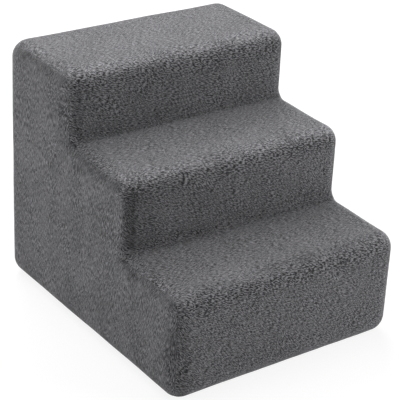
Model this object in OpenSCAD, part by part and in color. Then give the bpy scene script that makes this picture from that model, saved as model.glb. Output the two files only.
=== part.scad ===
// Three-step foam pet stairs in a removable plush cover that zips open round the back.
// Lengths are in millimetres. +Z is up, +Y is the way a pet climbs, and the origin is on
// the floor under the middle of the stairs.

/* [Steps] */
// Width of the stairs, side to side
stairs_w = 380; // [300:5:460]
// Depth of the lower tread, from its nosing to the next riser
lower_tread_d = 136; // [110:1:180]
// Depth of the middle tread
middle_tread_d = 139; // [110:1:180]
// Depth of the upper tread, from its nosing to the back
upper_tread_d = 173; // [140:1:220]
// Height of the lower tread above the floor
lower_riser_h = 161; // [125:1:200]
// Height of the middle tread above the lower one
middle_riser_h = 111; // [90:1:150]
// Height of the upper tread above the middle one
upper_riser_h = 103; // [90:1:150]

/* [Foam] */
// Thickness of the soft pad under each tread
pad_t = 25; // [15:1:40]
// Radius left in the foam where a riser meets a tread
foam_crease_r = 1; // [0.5:0.5:3]

/* [Cover] */
// Thickness of the plush, pile and backing together
plush_t = 3.5; // [3.2:0.1:5]
// Radius of every outer edge
edge_r = 26; // [20:1:34]
// Radius across each inner crease
crease_r = 10; // [6:1:16]
// Play between the cover and the foam
cover_play = 0.3; // [0.2:0.1:0.6]
// Gap between two panels where they are sewn together
seam_gap = 0.3; // [0.2:0.1:0.6]
// How far the upper step's plush reaches down the back below the rounded edge
back_lap = 8; // [4:1:20]

/* [Base] */
// Thickness of the non-slip base cloth
base_t = 2.5; // [1.5:0.1:3]
// Height of the plush above the floor
floor_gap = 0.6; // [0.3:0.1:1.5]
// Radius of a grip dot
dot_r = 2.5; // [2:0.5:5]
// Spacing of the grip dots
dot_pitch = 20; // [15:1:60]

/* [Zip] */
// Flat plush between a rounded edge of the back and the zip tape
zip_margin = 1.5; // [0.5:0.5:20]
// Radius of the zip's two lower corners, along its middle
zip_corner_r = 30; // [22:1:60]
// Width of each tape, from the middle of the zip
tape_w = 14; // [12:1:20]
// Thickness of each tape
tape_t = 0.6; // [0.4:0.1:0.8]
// Gap between the two coils, where the slider's wedge runs
chain_gap = 1.2; // [1:0.1:1.6]
// Width of each nylon coil
coil_w = 2.6; // [2:0.1:3.5]
// Height of each nylon coil
coil_h = 1.4; // [1.1:0.1:1.5]
// Length of the stops at the zip's ends
stop_l = 3; // [2:0.5:5]
// Length of the cloth tab sewn over each end of the zip
end_tab_l = 14; // [10:1:24]
// Thickness of the cloth tab
end_tab_t = 0.6; // [0.4:0.1:1]

/* [Slider] */
// Length of the slider
slider_l = 12; // [10:0.5:16]
// Thickness of each of its two wings
wing_t = 1; // [0.8:0.1:1.2]
// Thickness of the flanges that grip the coils
flange_t = 0.85; // [0.6:0.05:1.2]
// Running clearance round the coils, tapes and pull
slider_play = 0.2; // [0.15:0.05:0.3]
// Length of the crown that holds the pull
crown_l = 8; // [7:0.5:9]
// Width of the crown
crown_w = 2.4; // [2:0.1:3]
// Thickness of the crown's arch and of its posts
crown_t = 1; // [0.8:0.1:1.3]
// Radius of the pull's cross bar
bar_r = 0.6; // [0.5:0.05:0.8]
// Length of the pull, from its cross bar to its end
pull_l = 24; // [18:1:32]
// Width of the pull
pull_w = 7; // [6:0.5:10]
// Radius of the hole in the pull
pull_hole_r = 1.7; // [1:0.1:2]

/* [Hidden] */
$fn = 48;

plush_colour = [0.40, 0.40, 0.41];
foam_colour = [0.93, 0.90, 0.80];
pad_colour = [0.80, 0.87, 0.90];
base_colour = [0.20, 0.20, 0.21];
tape_colour = [0.24, 0.24, 0.25];
coil_colour = [0.32, 0.32, 0.33];
metal_colour = [0.55, 0.55, 0.57];

// Overrun of every cut
cut = 1;
// Facets in a quarter turn of a rounded edge, and in each half of one
arc_steps = 6;
half_arc_steps = 3;
// Turns from the side face towards the treads: where the rounding starts, where the side
// panels' seam runs, and how far it swings under the stairs along the foot
first_angle = 7.5;
seam_angle = 45;
foot_seam_angle = 60;
// Direction faced halfway round a crease, where its seam runs
crease_angle = 135;

// Places along the stairs
stairs_d = lower_tread_d + middle_tread_d + upper_tread_d;
front_y = -stairs_d / 2;
middle_riser_y = front_y + lower_tread_d;
upper_riser_y = middle_riser_y + middle_tread_d;
back_y = stairs_d / 2;
lower_tread_z = lower_riser_h;
middle_tread_z = lower_tread_z + middle_riser_h;
top_z = middle_tread_z + upper_riser_h;

// Depths below the plush
foam_depth = plush_t + cover_play;
base_depth = plush_t - base_t;
dot_h = floor_gap + base_depth;
foam_joint = foam_depth - foam_crease_r / 2;
lower_glue_z = lower_tread_z - foam_depth - pad_t;
middle_glue_z = middle_tread_z - foam_depth - pad_t;
upper_glue_z = top_z - foam_depth - pad_t;

// The zip, from the foam outwards
foam_back_y = back_y - foam_depth;
back_wing_y = foam_back_y + slider_play;
tape_y = back_wing_y + wing_t + slider_play;
coil_y = tape_y + tape_t;
front_wing_y = coil_y + coil_h + slider_play;
bar_y = front_wing_y + wing_t + slider_play + bar_r;
crown_y = bar_y + bar_r + slider_play;
tape_fold_play = slider_play / 2;

// The zip across and along the back
slider_half_w = chain_gap / 2 + coil_w + slider_play + flange_t;
slot_half_w = slider_half_w + wing_t;
zip_x = stairs_w / 2 - edge_r - zip_margin - tape_w;
zip_z = floor_gap + edge_r + zip_margin + tape_w;
back_seam_z = top_z - edge_r - back_lap;
zip_end_z = back_seam_z - seam_gap / 2;
stop_top_z = zip_end_z - end_tab_l - seam_gap;
stop_z = stop_top_z - stop_l;
coil_end_z = stop_z - seam_gap;
slider_z = stop_z - slider_play - slider_l / 2;
bar_z = slider_z - crown_l / 2 + crown_t + slider_play + bar_r;
pull_window_l = crown_l - crown_t + bar_r;
slider_travel = slider_z - slider_l / 2 - zip_z - zip_corner_r - seam_gap;

// Corners of the side outline, anticlockwise seen from the right: name, place along and up,
// and the directions that the surface faces before and after the corner
corners = [
    ["front foot", [front_y, floor_gap], 180, 270],
    ["back foot", [back_y, floor_gap], 270, 360],
    ["back top", [back_y, top_z], 0, 90],
    ["upper nosing", [upper_riser_y, top_z], 90, 180],
    ["upper crease", [upper_riser_y, middle_tread_z], 180, 90],
    ["middle nosing", [middle_riser_y, middle_tread_z], 90, 180],
    ["lower crease", [middle_riser_y, lower_tread_z], 180, 90],
    ["lower nosing", [front_y, lower_tread_z], 90, 180]
];
function corner_called(name) = search([name], corners)[0];
function first_facing(k) = corners[k][2];
function last_facing(k) = corners[k][3];
function is_crease(k) = last_facing(k) < first_facing(k);
front_foot = corner_called("front foot");
back_foot = corner_called("back foot");
back_top = corner_called("back top");
upper_nosing = corner_called("upper nosing");
upper_crease = corner_called("upper crease");
middle_nosing = corner_called("middle nosing");
lower_crease = corner_called("lower crease");
lower_nosing = corner_called("lower nosing");

function unit(angle) = [cos(angle), sin(angle)];
function blend(a, b, share) = a + (b - a) * share;
function degrees_of(arc, radius) = arc / radius * 180 / PI;

// A point of the surface at a corner. facing is the direction that the outline faces, along
// is a distance on from there, turn goes from the side face (0) to the treads (90), and
// depth is how far the point lies under the plush's face.
function surface_point(row, side, turn, depth, crease) =
    let (
        corner = corners[row[0]][1],
        facing = unit(row[1]),
        ahead = [-facing[1], facing[0]],
        both = unit(first_facing(row[0])) + unit(last_facing(row[0])),
        reach = (edge_r - depth) * sin(turn),
        place = is_crease(row[0])
            ? corner + crease * both - (crease + edge_r - reach) * facing
            : corner - edge_r * both + reach * facing,
        across = stairs_w / 2 - edge_r + edge_r * (1 - cos(first_angle))
            + (edge_r - depth) * cos(turn)
            + depth * (cos(first_angle) - 1)
    )
    [side * across, place[0] + row[2] * ahead[0], place[1] + row[2] * ahead[1]];

// Rows of the outline: a corner, the direction faced and the distance on from there
function arc_rows(k, from, to, steps) =
    [for (i = [0:steps]) [k, blend(from, to, i / steps), 0]];
function corner_rows(k) = arc_rows(k, first_facing(k), last_facing(k), arc_steps);
function loop_rows() = [for (k = [0:len(corners) - 1]) for (row = corner_rows(k)) row];
// Half of a crease: onto it from the riser above, as far as the seam, or off it to the tread
function onto_crease(k) =
    arc_rows(k, first_facing(k), crease_angle + crease_gap_angle, half_arc_steps);
function off_crease(k) =
    arc_rows(k, crease_angle - crease_gap_angle, last_facing(k), half_arc_steps);

// How far round to the side panel's seam, which swings under the stairs at both feet
function side_seam(row) =
    let (
        down = unit(row[1])[1],
        foot_share = row[0] == front_foot || row[0] == back_foot ? asin(-down) / 90 : 0
    )
    blend(seam_angle, foot_seam_angle, foot_share);
seam_gap_angle = degrees_of(seam_gap / 2, edge_r);
crease_gap_angle = degrees_of(seam_gap / 2, crease_r);

function side_columns(row) =
    [for (j = [0:half_arc_steps])
        [-1, blend(first_angle, side_seam(row) - seam_gap_angle, j / half_arc_steps)]];
function band_half(row, side) =
    [for (j = [0:half_arc_steps])
        [side, blend(side_seam(row) + seam_gap_angle, 90, j / half_arc_steps)]];
function reversed(list) = [for (i = [len(list) - 1:-1:0]) list[i]];
function band_columns(row) = concat(band_half(row, -1), reversed(band_half(row, 1)));
function block_columns() =
    let (half = [for (j = [0:arc_steps]) blend(first_angle, 90, j / arc_steps)])
    concat([for (turn = half) [-1, turn]], [for (turn = reversed(half)) [1, turn]]);

// Triangles of a grid of points, rows by columns, numbered from start and facing outwards
function grid_faces(rows, columns, start, closed) =
    [for (i = [0:rows - (closed ? 1 : 2)])
        for (j = [0:columns - 2])
            let (
                a = start + i * columns + j,
                b = start + (i + 1) % rows * columns + j
            )
            for (face = [[a, a + 1, b + 1], [a, b + 1, b]]) face];
function turned(faces) = [for (face = faces) [face[0], face[2], face[1]]];
// Triangles of a stair-shaped face, which all start in its lower back corner, from where the
// whole outline can be seen
function side_faces(columns, column, start) =
    let (
        count = len(corners) * (arc_steps + 1),
        apex = back_foot * (arc_steps + 1) + arc_steps / 2
    )
    [for (i = [0:count - 1])
        if (i != apex && (i + 1) % count != apex)
            [for (k = [apex, i, (i + 1) % count]) start + k * columns + column]];
function rim_faces(outer, inner) =
    [for (i = [0:len(outer) - 2])
        for (face = [[outer[i], outer[i + 1], inner[i + 1]], [outer[i], inner[i + 1], inner[i]]])
            face];

// A panel sewn from edge to edge: an outer and an inner skin of the same rows, with a rim
module panel(rows, outer_depth, inner_depth) {
    columns = len(band_columns(rows[0]));
    size = len(rows) * columns;
    points = [
        for (depth = [outer_depth, inner_depth])
            for (row = rows)
                for (column = band_columns(row))
                    surface_point(row, column[0], column[1], depth, crease_r)
    ];
    left = [for (i = [0:len(rows) - 1]) i * columns];
    right = [for (i = [len(rows) - 1:-1:0]) i * columns + columns - 1];
    last = [for (j = [0:columns - 1]) size - columns + j];
    first = [for (j = [columns - 1:-1:0]) j];
    rim = concat(left, last, right, first);
    // Neighbouring runs share their corner, which is kept once
    edge = [for (i = [0:len(rim) - 1]) if (rim[i] != rim[(i + 1) % len(rim)]) rim[i]];
    closed_edge = concat(edge, [edge[0]]);
    polyhedron(points, concat(
        grid_faces(len(rows), columns, 0, false),
        turned(grid_faces(len(rows), columns, size, false)),
        rim_faces(closed_edge, [for (i = closed_edge) i + size])
    ));
}

// A stair-shaped side panel, with its flat face and its rounded border
module side_panel() {
    rows = loop_rows();
    columns = half_arc_steps + 1;
    size = len(rows) * columns;
    points = [
        for (depth = [0, plush_t])
            for (row = rows)
                for (column = side_columns(row))
                    surface_point(row, column[0], column[1], depth, crease_r)
    ];
    border = [for (i = [len(rows):-1:0]) i % len(rows) * columns + columns - 1];
    polyhedron(points, concat(
        side_faces(columns, 0, 0),
        turned(side_faces(columns, 0, size)),
        grid_faces(len(rows), columns, 0, true),
        turned(grid_faces(len(rows), columns, size, true)),
        rim_faces(border, [for (i = border) i + size])
    ));
}

// The whole foam core, rounded as the cover holds it
module foam_core() {
    rows = loop_rows();
    columns = block_columns();
    count = len(columns);
    points = [
        for (row = rows)
            for (column = columns)
                surface_point(row, column[0], column[1], foam_depth, foam_crease_r - foam_depth)
    ];
    polyhedron(points, concat(
        side_faces(count, 0, 0),
        turned(side_faces(count, count - 1, 0)),
        grid_faces(len(rows), count, 0, true)
    ));
}

// The part of the foam core in a stretch along and up the stairs
module foam_piece(y_low, y_high, z_low, z_high) {
    intersection() {
        foam_core();
        translate([-stairs_w / 2 - cut, y_low, z_low])
            cube([stairs_w + 2 * cut, y_high - y_low, z_high - z_low]);
    }
}

module foam_slab_lower() {
    color(foam_colour) foam_piece(front_y - cut, back_y + cut, -cut, lower_glue_z);
}

module foam_slab_middle() {
    color(foam_colour)
        foam_piece(middle_riser_y + foam_joint, back_y + cut, lower_glue_z, middle_glue_z);
}

module foam_slab_upper() {
    color(foam_colour)
        foam_piece(upper_riser_y + foam_joint, back_y + cut, middle_glue_z, upper_glue_z);
}

module tread_pad_lower() {
    color(pad_colour)
        foam_piece(front_y - cut, middle_riser_y + foam_joint, lower_glue_z, lower_tread_z);
}

module tread_pad_middle() {
    color(pad_colour)
        foam_piece(middle_riser_y, upper_riser_y + foam_joint, middle_glue_z, middle_tread_z);
}

module tread_pad_upper() {
    color(pad_colour) foam_piece(upper_riser_y, back_y + cut, upper_glue_z, top_z);
}

module cover_side_left() {
    color(plush_colour) side_panel();
}

module cover_side_right() {
    color(plush_colour) mirror([1, 0, 0]) side_panel();
}

// Plush over one step: from the crease behind it, over its nosing and down its riser
module cover_step_lower() {
    front = first_facing(front_foot);
    color(plush_colour) panel(concat(
        off_crease(lower_crease),
        corner_rows(lower_nosing),
        arc_rows(front_foot, front, front + foot_seam_angle - seam_gap_angle, half_arc_steps)
    ), 0, plush_t);
}

module cover_step_middle() {
    color(plush_colour) panel(concat(
        off_crease(upper_crease),
        corner_rows(middle_nosing),
        onto_crease(lower_crease)
    ), 0, plush_t);
}

module cover_step_upper() {
    color(plush_colour) panel(concat(
        [[back_top, first_facing(back_top), seam_gap / 2 - back_lap]],
        corner_rows(back_top),
        corner_rows(upper_nosing),
        onto_crease(upper_crease)
    ), 0, plush_t);
}

// A plate that stands across the back between two depths, from an outline of width and height
module back_plate(y_low, y_high) {
    translate([0, y_high, 0])
        rotate([90, 0, 0])
            linear_extrude(height = y_high - y_low)
                children();
}

// The shape inside the zip's line, grown by a distance, with round lower corners
module zip_outline(grow, top) {
    half_w = zip_x + grow;
    low = zip_z - grow;
    radius = zip_corner_r + grow;
    quarter = [for (i = [0:arc_steps]) i / arc_steps];
    polygon(concat(
        [[half_w, top], [-half_w, top]],
        [for (share = quarter) [-half_w + radius, low + radius] + radius * unit(blend(180, 270, share))],
        [for (share = quarter) [half_w - radius, low + radius] + radius * unit(blend(270, 360, share))]
    ));
}

// A strip that follows the zip between two distances from its middle
module zip_strip(inner, outer, top) {
    difference() {
        zip_outline(outer, top);
        zip_outline(inner, top + cut);
    }
}

// The fold in the plush that takes the zip's tapes
module tape_fold(top) {
    back_plate(back_y - plush_t - cut, coil_y + tape_fold_play)
        zip_strip(-tape_w - tape_fold_play, tape_w + tape_fold_play, top);
}

module cover_back_surround() {
    foot_z = floor_gap + edge_r;
    back = last_facing(back_foot);
    color(plush_colour) difference() {
        panel(concat(
            arc_rows(back_foot, back - foot_seam_angle + seam_gap_angle, back, half_arc_steps),
            [[back_foot, back, zip_end_z - foot_z]]
        ), 0, plush_t);
        back_plate(back_y - plush_t - cut, back_y + cut) zip_outline(slot_half_w, zip_end_z + cut);
        tape_fold(zip_end_z + cut);
    }
}

module cover_back_flap() {
    color(plush_colour) difference() {
        back_plate(back_y - plush_t, back_y) zip_outline(-slot_half_w, zip_end_z);
        tape_fold(zip_end_z + cut);
    }
}

// The non-slip base cloth, with the rubber dots that are printed on it
module base_panel() {
    front = first_facing(front_foot);
    back = last_facing(back_foot);
    half_columns = floor((stairs_w / 2 - edge_r - dot_r) / dot_pitch);
    half_rows = floor((stairs_d / 2 - edge_r - dot_r) / dot_pitch);
    color(base_colour) union() {
        panel(concat(
            arc_rows(front_foot, front + foot_seam_angle + seam_gap_angle, last_facing(front_foot),
                half_arc_steps),
            arc_rows(back_foot, first_facing(back_foot), back - foot_seam_angle - seam_gap_angle,
                half_arc_steps)
        ), base_depth, plush_t);
        for (i = [-half_columns:half_columns])
            for (j = [-half_rows:half_rows])
                translate([i * dot_pitch, j * dot_pitch, 0])
                    cylinder(r = dot_r, h = dot_h + base_t / 2);
    }
}

module zip_tape_outer() {
    color(tape_colour) back_plate(tape_y, coil_y) zip_strip(chain_gap / 2, tape_w, zip_end_z);
}

module zip_tape_inner() {
    color(tape_colour) back_plate(tape_y, coil_y) zip_strip(-tape_w, -chain_gap / 2, zip_end_z);
}

module zip_coil_outer() {
    color(coil_colour)
        back_plate(coil_y, coil_y + coil_h)
            zip_strip(chain_gap / 2, chain_gap / 2 + coil_w, coil_end_z);
}

module zip_coil_inner() {
    color(coil_colour)
        back_plate(coil_y, coil_y + coil_h)
            zip_strip(-chain_gap / 2 - coil_w, -chain_gap / 2, coil_end_z);
}

// Two stops on the parked end, one on each coil, and one across both coils on the other end
module zip_stops() {
    reach = chain_gap / 2 + coil_w;
    color(metal_colour) {
        for (x = [zip_x - reach, zip_x + chain_gap / 2])
            translate([x, coil_y, stop_z]) cube([coil_w, coil_h, stop_l]);
        translate([-zip_x - reach, coil_y, stop_z]) cube([2 * reach, coil_h, stop_l]);
    }
}

module zip_end_tabs() {
    half_w = slot_half_w + tape_w / 2;
    color(tape_colour)
        for (x = [-zip_x, zip_x])
            translate([x - half_w, back_y, zip_end_z - end_tab_l])
                cube([2 * half_w, end_tab_t, end_tab_l]);
}

// One wing of the slider, narrower at the closed end than at its shoulders
module slider_wing() {
    outline_share = [
        [-0.6, -1], [0.6, -1], [1, -0.45], [1, 0.6], [0.65, 1], [-0.65, 1], [-1, 0.6], [-1, -0.45]
    ];
    polygon([for (p = outline_share) [p[0] * slider_half_w, slider_z + p[1] * slider_l / 2]]);
}

module zip_slider() {
    flange_x = slider_half_w - flange_t;
    flange_l = slider_l / 2;
    wedge_half_w = chain_gap / 2 - slider_play;
    color(metal_colour) translate([zip_x, 0, 0]) union() {
        back_plate(back_wing_y, back_wing_y + wing_t) slider_wing();
        back_plate(front_wing_y, front_wing_y + wing_t) slider_wing();
        // Flanges that turn in over the coils
        for (x = [-slider_half_w, flange_x])
            translate([x, coil_y + slider_play, slider_z - flange_l / 2])
                cube([flange_t, front_wing_y - coil_y - slider_play + wing_t / 2, flange_l]);
        // Wedge between the coils, which joins the two wings
        translate([-wedge_half_w, back_wing_y + wing_t / 2, slider_z + flange_l / 2])
            cube([2 * wedge_half_w, front_wing_y - back_wing_y, flange_l / 2]);
        // Crown over the pull's cross bar
        for (z = [slider_z - crown_l / 2, slider_z + crown_l / 2 - crown_t])
            translate([-crown_w / 2, front_wing_y + wing_t / 2, z])
                cube([crown_w, crown_y - front_wing_y, crown_t]);
        translate([-crown_w / 2, crown_y, slider_z - crown_l / 2])
            cube([crown_w, crown_t, crown_l]);
    }
}

module zip_pull_tab() {
    window_w = crown_w + 2 * slider_play + bar_r / 2;
    end_z = bar_z - pull_l + pull_w / 2;
    color(metal_colour) translate([zip_x, 0, 0]) {
        difference() {
            back_plate(bar_y - bar_r, bar_y + bar_r)
                translate([0, end_z]) union() {
                    translate([-pull_w / 2, 0]) square([pull_w, bar_z - end_z]);
                    circle(r = pull_w / 2);
                }
            // Window that clears the crown as the pull swings
            translate([-window_w / 2, bar_y - bar_r - cut, bar_z - pull_window_l])
                cube([window_w, 2 * bar_r + 2 * cut, pull_window_l + cut]);
            translate([0, bar_y + bar_r + cut, end_z])
                rotate([90, 0, 0]) cylinder(r = pull_hole_r, h = 2 * bar_r + 2 * cut);
        }
        translate([-pull_w / 2, bar_y, bar_z]) rotate([0, 90, 0]) cylinder(r = bar_r, h = pull_w);
    }
}

foam_slab_lower();
foam_slab_middle();
foam_slab_upper();
tread_pad_lower();
tread_pad_middle();
tread_pad_upper();
cover_side_left();
cover_side_right();
cover_step_lower();
cover_step_middle();
cover_step_upper();
cover_back_surround();
cover_back_flap();
base_panel();
zip_tape_outer();
zip_tape_inner();
zip_coil_outer();
zip_coil_inner();
zip_stops();
zip_end_tabs();
zip_slider();
zip_pull_tab();
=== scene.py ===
# %% [markdown]
# # Three-step pet stairs in grey plush
#
# A real set of these stairs is soft foam blocks glued into three steps, with a plush cover
# pulled over them and zipped up round the back. In this lesson each panel of the cover is
# cut as a flat pattern, as a sewer cuts it, and then laid over the foam's rounded edges.
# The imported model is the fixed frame: it says where each piece goes, in metres.

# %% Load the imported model
import math
from functools import lru_cache

import bmesh
import bpy
import numpy as np
from mathutils import Matrix, Vector, noise


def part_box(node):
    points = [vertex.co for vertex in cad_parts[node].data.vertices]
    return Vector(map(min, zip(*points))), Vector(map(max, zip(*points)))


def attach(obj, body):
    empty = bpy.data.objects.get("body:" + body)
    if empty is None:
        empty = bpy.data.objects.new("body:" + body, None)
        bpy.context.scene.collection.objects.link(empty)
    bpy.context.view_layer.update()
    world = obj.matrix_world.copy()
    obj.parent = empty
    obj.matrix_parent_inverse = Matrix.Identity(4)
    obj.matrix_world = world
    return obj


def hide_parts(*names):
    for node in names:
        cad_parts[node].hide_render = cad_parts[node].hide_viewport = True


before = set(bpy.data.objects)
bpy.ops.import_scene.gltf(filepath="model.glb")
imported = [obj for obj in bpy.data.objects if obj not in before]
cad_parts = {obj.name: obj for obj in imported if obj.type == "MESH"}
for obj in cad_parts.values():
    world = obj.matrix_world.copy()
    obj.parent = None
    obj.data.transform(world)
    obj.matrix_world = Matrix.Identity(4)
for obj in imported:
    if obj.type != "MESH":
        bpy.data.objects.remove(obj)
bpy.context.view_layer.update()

MM = 0.001
scene = bpy.context.scene
scene.view_settings.view_transform = "Standard"


def add_object(name, data):
    """A new object in the scene."""
    piece = bpy.data.objects.new(name, data)
    scene.collection.objects.link(piece)
    return piece


print("nodes in the frame:", len(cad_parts))

# %% [markdown]
# ## Camera
# The view is from the front left and above, through a long lens, so that upright edges
# stay nearly upright. The camera looks from a distance at a target inside the stairs, and is
# rolled a little, because the stairs lean slightly in the picture.

# %% Place the camera
VIEW_AZIMUTH, VIEW_ELEVATION = -36.48, 26.17   # degrees
VIEW_ROLL = 0.0495                             # radians
VIEW_DISTANCE = 2.1082
VIEW_TARGET = Vector((-0.0325, -0.0479, 0.1931))
FOCAL_PIXELS, FRAME_PIXELS = 1502.8, 400


def look_from(azimuth, elevation, distance, target, roll=0.0):
    """A place and turn that face a target: azimuth 0 looks along +Y, and roll tips the view."""
    azimuth, elevation = math.radians(azimuth), math.radians(elevation)
    away = Vector((
        math.sin(azimuth) * math.cos(elevation),
        -math.cos(azimuth) * math.cos(elevation),
        math.sin(elevation),
    ))
    right = (-away).cross(Vector((0, 0, 1))).normalized()
    up = right.cross(-away)
    tipped_right = math.cos(roll) * right + math.sin(roll) * up
    tipped_up = -math.sin(roll) * right + math.cos(roll) * up
    turn = Matrix((tipped_right, tipped_up, away)).transposed()
    return Matrix.Translation(target + distance * away) @ turn.to_4x4()


camera_data = bpy.data.cameras.new("Camera")
camera_data.sensor_width = 36
camera_data.lens = FOCAL_PIXELS / FRAME_PIXELS * camera_data.sensor_width
camera_data.clip_start, camera_data.clip_end = 0.1, 100
scene.camera = add_object("Camera", camera_data)
scene.camera.matrix_world = look_from(
    VIEW_AZIMUTH, VIEW_ELEVATION, VIEW_DISTANCE, VIEW_TARGET, VIEW_ROLL
)
print("lens:", round(camera_data.lens, 1), "mm")

# %% [markdown]
# ## Node helpers
# Every finish below is a small tree of shader nodes. A few helpers keep the trees readable:
# they add a node and fill its sockets, do one step of arithmetic, and start a material.

# %% Helpers for shader nodes
def add_node(tree, kind, sockets=None, **settings):
    """Adds a node. A socket's value is a number, a colour or another node's output socket."""
    node = tree.nodes.new(kind)
    for name, value in settings.items():
        setattr(node, name, value)
    for name, value in (sockets or {}).items():
        socket = node.inputs[name]
        if isinstance(value, bpy.types.NodeSocket):
            tree.links.new(value, socket)
        else:
            socket.default_value = value
    return node


def vector_math(tree, operation, a, b):
    """One operation on vectors."""
    return add_node(tree, "ShaderNodeVectorMath", {0: a, 1: b}, operation=operation).outputs[0]


def number_math(tree, operation, a, b=0.0, clamp=False):
    """One operation on numbers."""
    return add_node(tree, "ShaderNodeMath", {0: a, 1: b}, operation=operation,
                    use_clamp=clamp).outputs[0]


def grey(value, warmth=0.0):
    """A linear grey, a little warm (positive) or cool (negative)."""
    return (value * (1 + warmth), value, value * (1 - warmth), 1)


def start_material(name, preview, finish=None):
    """A new material with its output and its Principled BSDF, whose sockets finish fills."""
    material = bpy.data.materials.new(name)
    material.use_nodes = True
    material.diffuse_color = preview
    tree = material.node_tree
    tree.nodes.clear()
    shader = add_node(tree, "ShaderNodeBsdfPrincipled", finish)
    add_node(tree, "ShaderNodeOutputMaterial", {"Surface": shader.outputs["BSDF"]})
    return material, tree, shader


# %% [markdown]
# ## Studio: floor, surround and lamps
# The stairs stand on a pale floor under broad, soft lamps. The floor shows white to the
# camera, and round the stairs a share of it stays an ordinary lit surface, so the shadow on
# it is kept. The surround is white where the camera or a reflection sees it, and an even
# soft grey for the light that reaches the stairs.

# %% Floor
FLOOR_SIZE = 80
FLOOR_COLOUR, WHITE = grey(0.62), (1, 1, 1, 1)
FLOOR_LIT_SHARE, FLOOR_GLOW = 0.30, 1.24
LIT_NEAR, LIT_FAR = 0.7, 1.8      # the lit share fades out between these distances, in metres


def rays_of(tree, *kinds):
    """1 for rays of these kinds, and 0 for all the others."""
    path = add_node(tree, "ShaderNodeLightPath").outputs
    seen = path[kinds[0]]
    for kind in kinds[1:]:
        seen = number_math(tree, "MAXIMUM", seen, path[kind])
    return seen


floor_mesh = bpy.data.meshes.new("Floor")
shape = bmesh.new()
bmesh.ops.create_grid(shape, x_segments=1, y_segments=1, size=FLOOR_SIZE / 2)
shape.to_mesh(floor_mesh)
shape.free()
add_object("Floor", floor_mesh)

floor_paint = bpy.data.materials.new("Floor paper")
floor_paint.use_nodes = True
tree = floor_paint.node_tree
tree.nodes.clear()
paper = add_node(tree, "ShaderNodeBsdfDiffuse", {"Color": FLOOR_COLOUR})
white = add_node(tree, "ShaderNodeEmission", {"Color": WHITE, "Strength": FLOOR_GLOW})
floor_place = add_node(tree, "ShaderNodeTexCoord").outputs["Object"]
away = add_node(tree, "ShaderNodeVectorMath", {0: floor_place}, operation="LENGTH")
glow = add_node(tree, "ShaderNodeMapRange", {
    "Value": away.outputs["Value"], "From Min": LIT_NEAR, "From Max": LIT_FAR,
    "To Min": 1 - FLOOR_LIT_SHARE, "To Max": 1.0
}).outputs[0]
share = number_math(tree, "MULTIPLY", rays_of(tree, "Is Camera Ray", "Is Glossy Ray"), glow)
blend = add_node(tree, "ShaderNodeMixShader", {0: share, 1: paper.outputs[0], 2: white.outputs[0]})
add_node(tree, "ShaderNodeOutputMaterial", {"Surface": blend.outputs[0]})
floor_mesh.materials.append(floor_paint)
print("floor:", FLOOR_SIZE, "m wide")

# %% Surround
SURROUND_STRENGTH = 0.04
scene.world = bpy.data.worlds.new("Studio")
scene.world.use_nodes = True
tree = scene.world.node_tree
tree.nodes.clear()
lights = [add_node(tree, "ShaderNodeBackground", {"Color": WHITE, "Strength": strength})
          for strength in (SURROUND_STRENGTH, 1.0)]
seen = rays_of(tree, "Is Camera Ray", "Is Glossy Ray", "Is Transmission Ray")
blend = add_node(tree, "ShaderNodeMixShader", {
    0: seen, 1: lights[0].outputs[0], 2: lights[1].outputs[0]
})
add_node(tree, "ShaderNodeOutputWorld", {"Surface": blend.outputs[0]})
print("surround:", scene.world.name)

# %% Lamps
# Each lamp: name, azimuth and elevation that it shines from, distance, size and power in watts
LAMPS = [
    ("Back", 157, 45, 2.2, 1.6, 44),
    ("Top", -120, 75, 2.2, 1.4, 20),
    ("Left", -90, 15, 2.2, 1.4, 17),
    ("Front right", 45, 15, 2.2, 1.4, 29),
]
LAMP_TARGET = Vector((0, 0, 0.2))
for name, azimuth, elevation, distance, size, watts in LAMPS:
    lamp_data = bpy.data.lights.new(name, "AREA")
    lamp_data.shape, lamp_data.size, lamp_data.energy = "DISK", size, watts
    lamp = add_object(name, lamp_data)
    lamp.matrix_world = look_from(azimuth, elevation, distance, LAMP_TARGET)
print("lamps:", [lamp[0] for lamp in LAMPS])

# %% [markdown]
# ## The outline that the cover follows
# Seen from the side, the stairs are eight corners: two at the feet, three nosings with the
# back top, and two inner creases. Outer corners are rounded by the foam's soft edge, and
# creases by the cloth as it bridges the inner angle. The frame's own boxes give some of the
# places, and the others are given in millimetres.

# %% Measures read from the frame
EDGE_R = 26 * MM      # radius of every outer edge
CREASE_R = 10 * MM    # radius across an inner crease
FOOT_Z = 0.6 * MM     # height of the plush above the floor
PLUSH_T = 3.5 * MM    # backing and pile together
HALF_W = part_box("cover_side_right")[1].x
BACK_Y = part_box("cover_step_upper")[1].y
STEPS = ("lower", "middle", "upper")
riser_y = {"lower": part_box("cover_step_lower")[0].y, "middle": -88 * MM, "upper": 51 * MM}
tread_z = {"lower": 161 * MM, "middle": 272 * MM, "upper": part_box("cover_step_upper")[1].z}
HALF_FLAT = HALF_W - EDGE_R
CREASES = (("lower", "middle"), ("middle", "upper"))   # the tread before each, the riser after it
print("risers at", [round(riser_y[step] / MM, 1) for step in STEPS], "mm along,",
      "treads at", [round(tread_z[step] / MM, 1) for step in STEPS], "mm up")


@lru_cache(maxsize=None)
def unit(angle):
    """Direction in the side view: degrees from +Y, turning towards +Z."""
    return np.array((math.cos(math.radians(angle)), math.sin(math.radians(angle))))


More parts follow.
